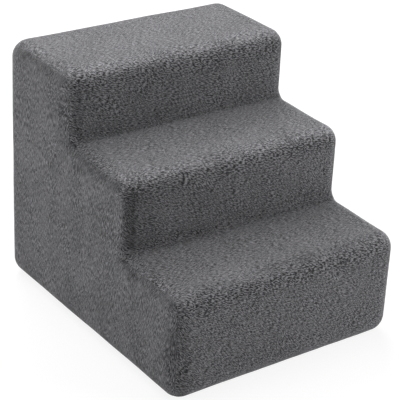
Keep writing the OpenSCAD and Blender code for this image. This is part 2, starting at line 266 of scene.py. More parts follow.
class Corner:
    """A corner of the side outline, and the directions faced before and after it."""

    def __init__(self, y, z, before, after, crease_r=CREASE_R):
        self.before, self.after = before, after
        self.crease = after < before
        self.crease_r = crease_r
        inward = (unit(before) + unit(after)) * (crease_r if self.crease else -EDGE_R)
        self.centre = np.array((y, z)) + inward
        self.radius = abs(crease_r) if self.crease else EDGE_R

    def at(self, facing, along, reach):
        """A place in the side view. reach is EDGE_R on the treads and 0 at the side face."""
        ahead = unit(facing + 90)
        arm = reach - EDGE_R - self.crease_r if self.crease else reach
        return self.centre + arm * unit(facing) + along * ahead


# Each corner: place along and up, and the directions faced before and after it
OUTLINE = {
    "front foot": (riser_y["lower"], FOOT_Z, 180, 270),
    "back foot": (BACK_Y, FOOT_Z, 270, 360),
    "back top": (BACK_Y, tread_z["upper"], 0, 90),
    "upper nosing": (riser_y["upper"], tread_z["upper"], 90, 180),
    "upper crease": (riser_y["upper"], tread_z["middle"], 180, 90),
    "middle nosing": (riser_y["middle"], tread_z["middle"], 90, 180),
    "lower crease": (riser_y["middle"], tread_z["lower"], 180, 90),
    "lower nosing": (riser_y["lower"], tread_z["lower"], 90, 180),
}
CORNERS = {name: Corner(*place) for name, place in OUTLINE.items()}
print("corners:", ", ".join(CORNERS))

# %% [markdown]
# ## How the cloth settles
# Foam pushes a tight cover out a little in the middle of each face, the cover gathers in
# fine puckers at its seams, and the foot is drawn in where the base cloth pulls on it. The
# lower two treads rise a little towards the crease behind them, where the cover bridges the
# inner angle. These are moves of a few millimetres at most, but they catch the light.

# %% Small moves of the cloth
WAVE_DEPTH, WAVE_SIZE = 0.55 * MM, 75 * MM
RIPPLE_DEPTH, RIPPLE_SIZE = 0.16 * MM, 24 * MM
FOOT_PULL, FOOT_REACH = 0.3 * MM, 42 * MM
TREAD_RISE, RISE_REACH = 2.6 * MM, 45 * MM
PUCKER_DEPTH, PUCKER_SIZE, PUCKER_REACH = 0.22 * MM, 11 * MM, 7 * MM
PUCKER_DRIFT, PUCKER_PATCH = 18 * MM, 30 * MM   # over which puckers change their pitch and depth
SIDEWAYS = 0.7                                  # a normal with more than this along X is a side's


def fade(value):
    """1 at 0 and below, 0 at 1 and above, smooth between."""
    share = min(max(value, 0.0), 1.0)
    return 1 - share * share * (3 - 2 * share)


def tread_rise(place):
    """How far a place near a crease is lifted: all of it at the crease, none at the nosing."""
    lift = 0.0
    for step, follower in CREASES:
        ahead = (riser_y[follower] - place.y) / (riser_y[follower] - riser_y[step] - EDGE_R)
        behind = (place.y - riser_y[follower]) / RISE_REACH
        share = fade(ahead) if ahead > 0 else fade(behind)
        lift += TREAD_RISE * share * fade(abs(place.z - tread_z[step]) / RISE_REACH)
    return lift


def settle(place, normal, from_seam):
    """Moves a point of the cover along its normal. from_seam is its distance to a seam."""
    wave = WAVE_DEPTH * noise.noise(place / WAVE_SIZE)
    ripple = RIPPLE_DEPTH * noise.noise(place / RIPPLE_SIZE + Vector((7, 3, 5)))
    half, off = (BACK_Y, place.y) if abs(normal.x) > SIDEWAYS else (HALF_W, place.x)
    middle = 1 - min(1.0, abs(off) / half) ** 2
    pull = -FOOT_PULL * middle * fade(place.z / FOOT_REACH)
    phase = math.tau * (place.x + place.y + place.z) / PUCKER_SIZE
    phase += 3 * noise.noise(place / PUCKER_DRIFT)
    strength = 0.5 + 0.5 * noise.noise(place / PUCKER_PATCH + Vector((2, 9, 4)))
    pucker = PUCKER_DEPTH * strength * math.sin(phase) * fade(from_seam / PUCKER_REACH)
    lift = Vector((0, 0, tread_rise(place)))
    return place + lift + normal * (wave + ripple + pull + pucker)


# %% [markdown]
# ## Laying cloth on the outline
# A strip of plush over the steps is a grid: its rows follow the outline and its columns run
# from side to side. Each vertex keeps its place on the flat cloth as a UV coordinate in
# metres, so the nap runs the same way along the whole panel, as it does off a bolt.

# %% Rows and columns of a strip
SPACING, FINE_SPACING = 2.8 * MM, 1.1 * MM
SEAM_TURN, FOOT_SEAM_TURN = 45.0, 60.0
SEAM_HALF_GAP = 0.08 * MM


def steps_over(length, spacing=SPACING):
    """How many grid cells fit in a length."""
    return max(1, round(length / spacing))


def stretch_rows(first, first_facing, last, last_facing, corners=CORNERS, spacing=SPACING):
    """Rows from one corner's arc to another's: corner name, facing, distance on, running length."""
    names = list(corners)
    rows, length = [], 0.0
    index = names.index(first)
    while True:
        name = names[index % len(names)]
        corner = corners[name]
        start = first_facing if name == first and not rows else corner.before
        end = last_facing if name == last else corner.after
        arc = math.radians(abs(end - start)) * corner.radius
        count = max(2, steps_over(arc, spacing))
        for i in range(count + 1):
            rows.append((name, start + (end - start) * i / count, 0.0, length + arc * i / count))
        length += arc
        if name == last:
            return rows
        follower = corners[names[(index + 1) % len(names)]]
        a = corner.at(corner.after, 0, EDGE_R)
        b = follower.at(follower.before, 0, EDGE_R)
        flat = float(np.linalg.norm(b - a))
        count = steps_over(flat, spacing)
        rows += [(name, end, flat * i / count, length + flat * i / count) for i in range(1, count)]
        length += flat
        index += 1


def seam_turn(name, facing):
    """How far from the side face the side seam runs: it swings under the stairs at the feet."""
    share = (facing - 180) / 90 if name == "front foot" else (360 - facing) / 90
    return SEAM_TURN + (FOOT_SEAM_TURN - SEAM_TURN) * share if "foot" in name else SEAM_TURN


def on_cover(x_run, row, depth=0.0, corners=CORNERS):
    """A place on the cover and its normal. x_run is the distance from the middle, over the edge."""
    name, facing, along = row[:3]
    side = math.copysign(1, x_run)
    turn = math.pi / 2 - max(0.0, abs(x_run) - HALF_FLAT) / EDGE_R
    reach = EDGE_R * math.sin(turn)
    y, z = corners[name].at(facing, along, reach)
    x = x_run if abs(x_run) <= HALF_FLAT else side * (HALF_FLAT + EDGE_R * math.cos(turn))
    out = unit(facing) * math.sin(turn)
    normal = Vector((side * math.cos(turn), out[0], out[1]))
    return Vector((x, y, z)) - depth * normal, normal


def run_to_seam(row):
    """Half the strip's width at a row, up to the side seam."""
    return HALF_FLAT + EDGE_R * math.radians(90 - seam_turn(row[0], row[1])) - SEAM_HALF_GAP


# %% A strip of cloth as a mesh
def mirrored(half):
    """Places from the middle outwards, on both sides of it."""
    return [-x for x in reversed(half)] + half[1:]


def column_shares(flat):
    """Columns from seam to seam: the shares of the flat half and of the edge that each runs over."""
    count = steps_over(EDGE_R * math.pi / 4)
    edge = [(1, (i + 1) / count) for i in range(count)]
    left = [(-flat_share, -edge_share) for flat_share, edge_share in reversed(edge)]
    return left + [(share, 0) for share in flat] + edge


def run_at(column, row):
    """How far from the middle a column is at a row."""
    return column[0] * HALF_FLAT + column[1] * (run_to_seam(row) - HALF_FLAT)


def new_object(name, shape):
    """Turns a bmesh into an object in the scene, smooth shaded."""
    for face in shape.faces:
        face.smooth = True
    mesh = bpy.data.meshes.new(name)
    shape.to_mesh(mesh)
    shape.free()
    return add_object(name, mesh)


def grid_shape(rows, columns):
    """A grid with layers for cloth, and its vertices, each paired with its row and column."""
    shape = bmesh.new()
    shape.loops.layers.uv.new("Cloth")
    # Besides how the pile lies, one layer holds painted highlight and painted shade, as a factor on
    # the colour
    for name in ("Nosing", "Upright", "PaintedLight", "Calm"):
        shape.verts.layers.float.new(name)
    bmesh.ops.create_grid(shape, x_segments=len(columns) - 1, y_segments=len(rows) - 1, size=0.5)
    order = sorted(shape.verts, key=lambda v: (round(v.co.y, 5), round(v.co.x, 5)))
    for vert in order:
        vert[shape.verts.layers.float["Upright"]] = vert[shape.verts.layers.float["PaintedLight"]] = 1.0
    return shape, list(zip(order, [(row, column) for row in rows for column in columns]))


# %% [markdown]
# ## How the pile lies, and painted light
# Each vertex of the plush notes how the pile lies there: combed into rows along a nosing,
# upright on a riser or a side, or calm over an edge. One layer also holds painted highlight
# and painted shade as a factor on the colour: paler on the crowns of the nosings, darker below
# them, in the creases, near the floor and at the left of the middle riser, and paler or darker
# across the side edges. The material reads these named layers. Each effect is a swell: it is
# full in one place and fades on both sides.

# %% Marks for the pile, with painted highlight and shade
def swell(share, centre, before, after):
    """1 at the centre, falling to 0 at a distance before it and a distance after it."""
    return fade((centre - share) / before if share < centre else (share - centre) / after)


def swells(share, table):
    """The sum of several swells, each with its own height."""
    return sum(height * swell(share, *where) for height, *where in table)


# Painted highlight on the crown of each nosing, strongest on the upper ones, and painted
# shade below each crown, in the creases, near the floor and at the left of the middle riser.
NOSING_HIGHLIGHT = {"lower nosing": 0.05, "middle nosing": 0.47, "upper nosing": 0.60}
NOSING_SHADE, CREASE_SHADE, CREASE_LINE_SHADE, FOOT_SHADE = 0.10, 0.24, 0.20, 0.14
CREASE_REACH, CREASE_LINE_REACH, FOOT_SHADE_REACH = 32 * MM, 9 * MM, 30 * MM
CORNER_SHADE, CORNER_REACH = 0.20, 60 * MM   # on the middle riser, from its left edge
# The lowest riser takes only a share of the painted highlight and shade across its side edges
CROWN_CALM, LOWEST_RISER_SHARE = 0.7, 0.25             # LOWEST_RISER_SHARE is the lowest riser's share of the edges' tone
# Swells over a nosing: middle, reach before and reach after, in shares of its arc
HIGHLIGHT_SWELL, NOSING_SHADE_SWELL, CALM_SWELL = (0.40, 0.44, 0.32), (0.85, 0.30, 0.30), (0.30, 0.40, 0.30)
COMBED_MIDDLE, COMBED_SPAN, COMBED_RUN = 0.78, 0.55, 13 * MM
# Swells of painted highlight and shade across a side edge, from the strip's flat (0) to the side
# panel's (1)
TREAD_SWELLS = [(0.20, 0.28, 0.28, 0.26), (-0.32, 0.60, 0.14, 0.34)]
RISER_SWELL, LEFT_SWELL = (0.50, 0.56, 0.12, 0.44), (-0.30, 0.18, 0.24, 0.28)
RIGHT_SWELL = (0.16, 0.18, 0.24, 0.28)
STRIP_END, STRIP_FADE = 0.25, 0.4            # where the strip's own marks fade across that edge
TREAD_LIMIT = 0.22                           # how far a face may lean and still count as a tread


def mark_pile(shape, vert, row, run):
    """Notes at a vertex how the pile lies, combed along a nosing or on a riser, and its painted
    highlight and painted shade.
    """
    name, facing, along = row[:3]
    layers = shape.verts.layers.float
    corner = CORNERS[name]
    share = (facing - corner.before) / (corner.after - corner.before)
    turned = min(max((abs(run) - HALF_FLAT) / (EDGE_R * math.pi / 2), 0.0), 1.0)
    upward = math.sin(math.radians(facing))
    riser = fade(upward)
    on_strip = fade((turned - STRIP_END) / STRIP_FADE)
    lowest_share = LOWEST_RISER_SHARE if vert.co.z < tread_z["lower"] else 1.0
    # Painted highlight and painted shade across the side edges, from the swells above
    edge = swells(turned, [RISER_SWELL, LEFT_SWELL if vert.co.x < 0 else RIGHT_SWELL])
    painted_tone = swells(turned, TREAD_SWELLS) * (1 - riser) + edge * lowest_share * riser
    calm = 0.0
    if name in NOSING_HIGHLIGHT:
        combed = fade(abs(share - COMBED_MIDDLE) / COMBED_SPAN)
        vert[layers["Nosing"]] = combed * fade(along / COMBED_RUN)
        # Painted highlight on the crown of the nosing, and painted shade below it
        painted_tone += NOSING_HIGHLIGHT[name] * swell(share, *HIGHLIGHT_SWELL) * on_strip
        painted_tone -= NOSING_SHADE * swell(share, *NOSING_SHADE_SWELL) * on_strip
        calm = CROWN_CALM * swell(share, *CALM_SWELL)
    # Painted shade in the creases: a broad band, and a narrow dark line in the crease itself
    for step, follower in CREASES:
        off = math.hypot(vert.co.y - riser_y[follower], vert.co.z - tread_z[step])
        shade = CREASE_SHADE * fade(off / CREASE_REACH) + CREASE_LINE_SHADE * fade(off / CREASE_LINE_REACH)
        painted_tone -= shade * on_strip
    painted_tone -= FOOT_SHADE * fade(vert.co.z / FOOT_SHADE_REACH)
    if tread_z["lower"] < vert.co.z < tread_z["middle"]:
        painted_tone -= CORNER_SHADE * riser * on_strip * fade((vert.co.x + HALF_FLAT) / CORNER_REACH)
    vert[layers["Upright"]] = 1 - fade((1 - upward * on_strip) / TREAD_LIMIT)
    vert[layers["PaintedLight"]] = 1 + painted_tone
    vert[layers["Calm"]] = max(calm, 1 - on_strip)


# %% Laying and thickening a sheet
def sheet_object(name, shape, flat_places, place, outward):
    """The object of a laid sheet: its UV map is the flat cloth, and it faces outward at a place."""
    uv_layer = shape.loops.layers.uv["Cloth"]
    for face in shape.faces:
        for loop in face.loops:
            loop[uv_layer].uv = flat_places[loop.vert]
    shape.normal_update()
    nearest = min(shape.faces, key=lambda face: (face.calc_center_median() - place).length)
    if nearest.normal.dot(outward) < 0:
        bmesh.ops.reverse_faces(shape, faces=shape.faces[:])
    return new_object(name, shape)


def lay_strip(name, rows, depth=0.0):
    """Lays a strip of cloth over the outline. Its UV map is the flat cloth, in metres."""
    flat_count = steps_over(2 * HALF_FLAT)
    columns = column_shares([-1 + 2 * i / flat_count for i in range(flat_count + 1)])
    shape, grid = grid_shape(rows, columns)
    flat_places = {}
    for vert, (row, column) in grid:
        run = run_at(column, row)
        place, normal = on_cover(run, row, depth)
        from_seam = min(run_to_seam(row) - abs(run), row[3], rows[-1][3] - row[3])
        vert.co = settle(place, normal, from_seam)
        mark_pile(shape, vert, row, run)
        flat_places[vert] = (run, row[3])
    return sheet_object(name, shape, flat_places, *on_cover(0, rows[len(rows) // 2]))


def thicken(piece, thickness, edge, fold_group=None, fold_share=1.0):
    """Gives cloth its thickness, inwards, and rolls its edges. Returns the piece."""
    solid = piece.modifiers.new("Thickness", "SOLIDIFY")
    solid.thickness, solid.offset = thickness, -1
    solid.use_rim = True
    if fold_group:
        solid.vertex_group, solid.thickness_vertex_group = fold_group, fold_share
    roll = piece.modifiers.new("Rolled edge", "BEVEL")
    roll.width, roll.segments, roll.profile = edge, 3, 0.5
    roll.limit_method, roll.angle_limit = "ANGLE", math.radians(55)
    print(piece.name, len(piece.data.polygons), "faces")
    return piece


# %% [markdown]
# ## The foam core
# Inside the cover stand three slabs of firm foam, glued in a stack, each set back by a tread,
# and a pad of softer foam lies under every tread. A foam shop makes such pieces by cutting
# with a hot wire. So the whole core is modelled once, as a strip over the outline with its
# sides closed, and each piece is a copy of it that is cut along its glue joints.

# %% The whole core
FOAM_DEPTH = PLUSH_T + 0.3 * MM      # under the plush's face
FOAM_CREASE_R = 1 * MM               # foam is cut nearly square where the cover bridges
FOAM_SPACING, EDGE_SPACING, FLAT_SPACING = 7 * MM, 5 * MM, 24 * MM
FOAM_CORNERS = {name: Corner(*place, crease_r=FOAM_CREASE_R - FOAM_DEPTH)
                for name, place in OUTLINE.items()}


def close_holes(shape):
    """Fills every open rim and turns the faces outwards."""
    rims = [edge for edge in shape.edges if edge.is_boundary]
    bmesh.ops.holes_fill(shape, edges=rims, sides=0)
    bmesh.ops.recalc_face_normals(shape, faces=shape.faces[:])


def foam_core():
    """The foam as one closed solid, as a bmesh."""
    rows = stretch_rows("front foot", 180, "lower nosing", 180, FOAM_CORNERS, FOAM_SPACING)
    rows.append(rows[0])
    over_edge = EDGE_R * math.pi / 2
    edge_count = steps_over(over_edge, EDGE_SPACING)
    flat_count = steps_over(2 * HALF_FLAT, FLAT_SPACING)
    edge_runs = [HALF_FLAT + over_edge * i / edge_count for i in range(edge_count, 0, -1)]
    flat_runs = [HALF_FLAT * (2 * i / flat_count - 1) for i in range(flat_count + 1)]
    runs = [-run for run in edge_runs] + flat_runs + edge_runs[::-1]
    shape, grid = grid_shape(rows, runs)
    for vert, (row, run) in grid:
        vert.co = on_cover(run, row, FOAM_DEPTH, FOAM_CORNERS)[0]
    bmesh.ops.remove_doubles(shape, verts=shape.verts[:], dist=0.01 * MM)
    close_holes(shape)
    return shape


core = foam_core()
print("core:", len(core.faces), "faces,", round(core.calc_volume() * 1000, 1), "litres")

# %% Cut the core into its pieces
FOAM_KINDS = (("foam_slab_", "firm_foam_"), ("tread_pad_", "soft_foam_"))


def cut_foam(node, name):
    """A copy of the core, cut at the planes of the node's box and closed at each cut."""
    low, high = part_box(node)
    shape = core.copy()
    for place, facing in (((0, low.y, 0), (0, -1, 0)), ((0, high.y, 0), (0, 1, 0)),
                          ((0, 0, low.z), (0, 0, -1)), ((0, 0, high.z), (0, 0, 1))):
        everything = shape.verts[:] + shape.edges[:] + shape.faces[:]
        bmesh.ops.bisect_plane(shape, geom=everything, dist=0.02 * MM, plane_co=place,
                               plane_no=facing, clear_outer=True)
        close_holes(shape)
    closed = all(edge.is_manifold for edge in shape.edges)
    print(name, "closed" if closed else "OPEN", round(shape.calc_volume() * 1000, 2), "litres")
    return new_object(name, shape)


foam = {node + step: cut_foam(node + step, name + step)
        for node, name in FOAM_KINDS for step in STEPS}
core.free()

# %% [markdown]
# ## The three step panels
# One strip covers each step, from the crease behind its tread, over the nosing and down the
# riser. The middle and upper strips end in the creases, where the next strip is sewn on. The
# upper one starts on the back, below the top edge, and the lower one ends under the foot.

# %% Cut and lay the step panels
CREASE_FACING = 135
BACK_RUN, BACK_ROWS = 8 * MM, 3      # how far the upper strip reaches down the back
EDGE_ROLL = 0.3 * MM
crease_gap = math.degrees(SEAM_HALF_GAP / CREASE_R)
step_rows = {
    "lower": stretch_rows("lower crease", CREASE_FACING - crease_gap, "front foot",
                          180 + FOOT_SEAM_TURN),
    "middle": stretch_rows("upper crease", CREASE_FACING - crease_gap, "lower crease",
                           CREASE_FACING + crease_gap),
    "upper": [("back top", 0, -BACK_RUN * (1 - i / BACK_ROWS), BACK_RUN * i / BACK_ROWS)
              for i in range(BACK_ROWS)],
}
step_rows["upper"] += [(name, facing, along, BACK_RUN + length) for name, facing, along, length
                       in stretch_rows("back top", 0, "upper crease", CREASE_FACING + crease_gap)]
cover = {}
for step in STEPS:
    strip = lay_strip("plush_step_" + step, step_rows[step])
    cover["cover_step_" + step] = thicken(strip, PLUSH_T, EDGE_ROLL)

# %% [markdown]
# ## The side panels
# A side panel is cut as one flat stair shape, larger than the side by the cloth that goes
# round its edges. A grid is cut to that shape first. Then its outer corners are rounded and
# its inner ones eased, and last it is wrapped round the foam to the side seam.

# %% Lines of the side pattern
EDGE_RUN = EDGE_R * math.radians(SEAM_TURN) - SEAM_HALF_GAP
FOOT_RUN = EDGE_R * math.radians(FOOT_SEAM_TURN) - SEAM_HALF_GAP
CREASE_BIG_R = CREASE_R + EDGE_R
EASE = 30 * MM


def lines_through(stops, fine_stop=None):
    """Grid lines through every stop, evenly spaced, and finer on both sides of the fine stop."""
    stops = sorted(stops)
    lines = [stops[0]]
    for a, b in zip(stops, stops[1:]):
        count = steps_over(b - a, FINE_SPACING if fine_stop in (a, b) else SPACING)
        lines += [a + (b - a) * (i + 1) / count for i in range(count)]
    return lines


y_stops = [riser_y["lower"] + EDGE_R - EDGE_RUN, riser_y["lower"] + EDGE_R,
           BACK_Y - EDGE_R, BACK_Y - EDGE_R + EDGE_RUN]
z_stops = [FOOT_Z + EDGE_R - FOOT_RUN, FOOT_Z + EDGE_R,
           tread_z["upper"] - EDGE_R, tread_z["upper"] - EDGE_R + EDGE_RUN]
for step, follower in CREASES:
    y, z = riser_y[follower], tread_z[step]
    y_stops += [y - CREASE_R, y + EDGE_R - EDGE_RUN, y + EDGE_R]
    z_stops += [z + CREASE_R, z - EDGE_R + EDGE_RUN, z - EDGE_R]
side_y, side_z = lines_through(y_stops), lines_through(z_stops)


def in_side_pattern(y, z):
    """Whether a place is inside the stair shape, before its corners are rounded."""
    top = tread_z["lower"]
    for step in ("middle", "upper"):
        if y > riser_y[step] + EDGE_R - EDGE_RUN:
            top = tread_z[step]
    return z < top - EDGE_R + EDGE_RUN


def inset_lines():
    """The straight lines where the side face starts to round off: name, start, facing, length."""
    corners = list(CORNERS.items())
    for (name, corner), (_, follower) in zip(corners, corners[1:] + corners[:1]):
        start = corner.at(corner.after, 0, 0)
        flat = float(np.linalg.norm(follower.at(follower.before, 0, 0) - start))
        yield name, start, corner.after, flat


INSET_LINES = list(inset_lines())


def turn_share(u, v):
    """How far round a corner a place of its square is, from 0 on one side to 1 on the other."""
    if max(u, v) <= 0:
        return 0.5
    return 0.5 * v / u if u >= v else 1 - 0.5 * u / v


def rounded(u, v, radius, ease):
    """Moves a place of a square corner onto a round one. Beyond the radius the move eases off."""
    ring = max(u, v)
    if min(u, v) <= 0 or ring >= radius + ease:
        return u, v
    angle = turn_share(u, v) * math.pi / 2
    strength = fade((ring - radius) / ease) if ease else 1
    return u + (ring * math.cos(angle) - u) * strength, v + (ring * math.sin(angle) - v) * strength


def wrap_side(y, z):
    """From a place on the flat side pattern to a row of the outline, a turn and a seam distance.

    The turn is in radians from the side face, and negative inside the flat side."""
    for name, corner in CORNERS.items():
        if corner.crease:
            u, v = y - corner.centre[0], corner.centre[1] - z
            ring = max(u, v)
            if u >= 0 and v >= 0 and ring <= CREASE_BIG_R:
                facing = corner.before + (corner.after - corner.before) * turn_share(u, v)
                return (name, facing, 0.0), (CREASE_BIG_R - ring) / EDGE_R
            continue
        out_a = float(np.dot((y, z) - corner.centre, unit(corner.before)))
        out_b = float(np.dot((y, z) - corner.centre, unit(corner.after)))
        if out_a > 0 and out_b > 0:
            run_a = FOOT_RUN if corner.before == 270 else EDGE_RUN
            run_b = FOOT_RUN if corner.after == 270 else EDGE_RUN
            u, v = out_a / run_a, out_b / run_b
            share = turn_share(u, v)
            facing = corner.before + (corner.after - corner.before) * share
            return (name, facing, 0.0), max(u, v) * (run_a + (run_b - run_a) * share) / EDGE_R
    for name, start, facing, flat in INSET_LINES:
        out = float(np.dot((y, z) - start, unit(facing)))
        along = float(np.dot((y, z) - start, unit(facing + 90)))
        if 0 < out <= FOOT_RUN + MM and -1e-9 <= along <= flat + 1e-9:
            return (name, facing, along), out / EDGE_R
    return None, 0.0


def ease_flat(y, z):
    """Draws the flat side's grid lines round the inner corners, so that no cell is pinched."""
    for corner in CORNERS.values():
        if corner.crease:
            u, v = rounded(y - corner.centre[0], corner.centre[1] - z, CREASE_BIG_R, EASE)
            y, z = corner.centre[0] + u, corner.centre[1] - v
    return y, z


# %% Cut and wrap the side panels
def cut_away(shape, flat_places, is_waste):
    """Removes the grid's cells whose middle, on the flat cloth, is waste."""
    waste = [face for face in shape.faces if is_waste(*[
        sum(flat_places[vert][axis] for vert in face.verts) / 4 for axis in (0, 1)
    ])]
    bmesh.ops.delete(shape, geom=waste, context="FACES")


def lay_side(name, side):
    """One side panel: side is -1 for the left and 1 for the right."""
    shape, grid = grid_shape(side_z, side_y)
    pattern = {vert: (y, z) for vert, (z, y) in grid}
    cut_away(shape, pattern, lambda y, z: not in_side_pattern(y, z))
    outward = Vector((side, 0, 0))
    for vert in shape.verts:
        y, z = pattern[vert]
        row, turn = wrap_side(y, z)
        if row:
            limit = math.radians(seam_turn(row[0], row[1]))
            run = HALF_FLAT + EDGE_R * (math.pi / 2 - turn)
            place, normal = on_cover(side * run, row)
            vert.co = settle(place, normal, EDGE_R * (limit - turn))
            mark_pile(shape, vert, row, run)
        else:
            vert.co = settle(Vector((side * HALF_W, *ease_flat(y, z))), outward, EDGE_RUN)
    return sheet_object(name, shape, pattern, side * Vector((HALF_W, 0, 0)), outward)


for word, side in (("left", -1), ("right", 1)):
    panel = lay_side("plush_side_" + word, side)
    cover["cover_side_" + word] = thicken(panel, PLUSH_T, EDGE_ROLL)

# %% [markdown]
# ## The back: surround, flap and zip opening
# The zip runs down one side of the back, along the foot and up the other side. The plush
# outside it is one U-shaped panel that reaches the side seams, and the plush inside it is
# the flap that opens. Both are cut from grids with the slot left open between them.

# %% Measures of the zip
ZIP_X, ZIP_Z, ZIP_CORNER_R = 148.5 * MM, 42.1 * MM, 30 * MM
ZIP_TOP_Z = 340.85 * MM
SLOT_HALF_W = 5.25 * MM
CORNER_X, CORNER_Z = ZIP_X - ZIP_CORNER_R, ZIP_Z + ZIP_CORNER_R
STITCH_OFFSET, STITCH_SINK, SINK_REACH = 8.4 * MM, 0.55 * MM, 1.5 * MM
FOLD_T, FOLD_HALF_W, FOLD_ROLL = 1.55 * MM, 14.4 * MM, 0.5 * MM
UPRIGHT = ZIP_TOP_Z - CORNER_Z
QUARTER = ZIP_CORNER_R * math.pi / 2
ZIP_LENGTH = 2 * (UPRIGHT + QUARTER + CORNER_X)
BACKWARD = Vector((0, 1, 0))


def zip_offset(x, z):
    """Signed distance of a place on the back from the middle of the zip, positive outside."""
    dx, dz = abs(x) - CORNER_X, CORNER_Z - z
    if dx > 0 and dz > 0:
        return math.hypot(dx, dz) - ZIP_CORNER_R
    return max(dx, dz) - ZIP_CORNER_R


def on_zip(length, offset):
    """A place along the zip from its left top end, offset outwards, and the direction ahead."""
    runs = [UPRIGHT, QUARTER, 2 * CORNER_X, QUARTER, UPRIGHT]
    part = 0
    while part < 4 and length > runs[part]:
        length -= runs[part]
        part += 1
    if part in (1, 3):
        start = 180 if part == 1 else 270
        angle = math.radians(start + 90 * length / QUARTER)
        centre_x = -CORNER_X if part == 1 else CORNER_X
        arm = ZIP_CORNER_R + offset
        place = (centre_x + arm * math.cos(angle), CORNER_Z + arm * math.sin(angle))
        return place, (-math.sin(angle), math.cos(angle))
    if part == 0:
        return (-ZIP_X - offset, ZIP_TOP_Z - length), (0, -1)
    if part == 2:
        return (-CORNER_X + length, ZIP_Z - offset), (1, 0)
    return (ZIP_X + offset, CORNER_Z + length), (0, 1)


def sink_at_zip(place, normal):
    """Cloth is drawn down along the line of stitches beside the zip."""
    offset = abs(zip_offset(place.x, place.z))
    groove = math.exp(-((offset - STITCH_OFFSET) / SINK_REACH) ** 2)
    return place - normal * (STITCH_SINK * groove)


def round_about(x, z, radius, ease):
    """Moves a place of a square corner of the zip's U onto a rounded one."""
    u, v = rounded(abs(x) - CORNER_X, CORNER_Z - z, radius, ease)
    return math.copysign(CORNER_X + u, x), CORNER_Z - v


# %% Cut and lay the surround
HOLE_X, HOLE_Z = ZIP_X + SLOT_HALF_W, ZIP_Z - SLOT_HALF_W
FINE_REACH = 12 * MM     # how far the finer grid reaches from the slot
back_foot_z = FOOT_Z + EDGE_R
foot_rows = stretch_rows("back foot", 360 - FOOT_SEAM_TURN, "back foot", 360)
foot_length = foot_rows[-1][3]
rise = lines_through([back_foot_z, HOLE_Z, HOLE_Z + FINE_REACH, CORNER_Z, ZIP_TOP_Z], HOLE_Z)
surround_rows = foot_rows + [
    ("back foot", 360, z - back_foot_z, foot_length + z - back_foot_z) for z in rise[1:]
]
half_columns = lines_through([0, CORNER_X, HOLE_X, HALF_FLAT], HALF_FLAT)


def lay_surround(name):
    """The U-shaped panel between the zip and the seams."""
    columns = column_shares([x / HALF_FLAT for x in mirrored(half_columns)])
    shape, grid = grid_shape(surround_rows, columns)
    flat_places = {vert: (run_at(column, row), row[3]) for vert, (row, column) in grid}
    hole_length = foot_length + HOLE_Z - back_foot_z
    cut_away(shape, flat_places, lambda run, length: abs(run) < HOLE_X and length > hole_length)
    for vert in shape.verts:
        run, length = flat_places[vert]
        if length > foot_length - 1e-9:
            z = length - foot_length + back_foot_z
            if abs(run) <= HALF_FLAT:
                run, z = round_about(run, z, ZIP_CORNER_R + SLOT_HALF_W, HALF_FLAT - HOLE_X)
            row = ("back foot", 360, z - back_foot_z, length)
        else:
            row = min(surround_rows, key=lambda r: abs(r[3] - length))
        place, normal = on_cover(run, row)
        from_seam = min(run_to_seam(row) - abs(run), length, surround_rows[-1][3] - length)
        vert.co = sink_at_zip(settle(place, normal, from_seam), normal)
        mark_pile(shape, vert, row, run)
    return sheet_object(name, shape, flat_places, Vector((0, BACK_Y, HOLE_Z)), BACKWARD)


def fold_at_zip(piece):
    """Thickens plush that is folded thin over the zip's tapes."""
    group = piece.vertex_groups.new(name="Away from the zip")
    for vert in piece.data.vertices:
        if abs(zip_offset(vert.co.x, vert.co.z)) > FOLD_HALF_W or vert.co.y < BACK_Y - 5 * MM:
            group.add([vert.index], 1.0, "REPLACE")
    return thicken(piece, PLUSH_T, FOLD_ROLL, group.name, FOLD_T / PLUSH_T)


cover["cover_back_surround"] = fold_at_zip(lay_surround("plush_back_surround"))

# %% Cut and lay the flap
FLAP_X, FLAP_Z = ZIP_X - SLOT_HALF_W, ZIP_Z + SLOT_HALF_W
FLAP_CROWN = 1.6 * MM


def flap_place(x, z, from_seam):
    """A place on the flap, which stands a little proud in its middle."""
    up = (z - FLAP_Z) / (ZIP_TOP_Z - FLAP_Z)
    crown = FLAP_CROWN * (1 - (x / FLAP_X) ** 2) * 4 * up * (1 - up)
    return sink_at_zip(settle(Vector((x, BACK_Y + crown, z)), BACKWARD, from_seam), BACKWARD)


def lay_flap(name):
    """The flap of the back, inside the zip."""
    xs = mirrored(lines_through([0, CORNER_X - FINE_REACH, FLAP_X], FLAP_X))
    zs = lines_through([FLAP_Z, CORNER_Z + FINE_REACH, ZIP_TOP_Z], FLAP_Z)
    shape, grid = grid_shape(zs, xs)
    pattern = {vert: (x, z) for vert, (z, x) in grid}
    for vert, place in pattern.items():
        x, z = round_about(*place, ZIP_CORNER_R - SLOT_HALF_W, 0)
        vert.co = flap_place(x, z, min(ZIP_TOP_Z - z, -zip_offset(x, z) - SLOT_HALF_W))
    return sheet_object(name, shape, pattern, Vector((0, BACK_Y, CORNER_Z)), BACKWARD)


cover["cover_back_flap"] = fold_at_zip(lay_flap("plush_back_flap"))

# %% [markdown]
# ## The base
# The base is a thin non-slip cloth, sewn to the plush under the rounded foot, with rows of
# rubber dots printed on it. The stairs rest on the dots.

# %% The base cloth
BASE_T, BASE_DEPTH = 2.5 * MM, 1.0 * MM
DOT_R, DOT_PITCH, DOT_EMBED = 2.5 * MM, 20 * MM, 0.6 * MM
base_rows = stretch_rows("front foot", 180 + FOOT_SEAM_TURN, "back foot", 360 - FOOT_SEAM_TURN)
base_cloth = thicken(lay_strip("base_cloth", base_rows, BASE_DEPTH), BASE_T, 0.4 * MM)

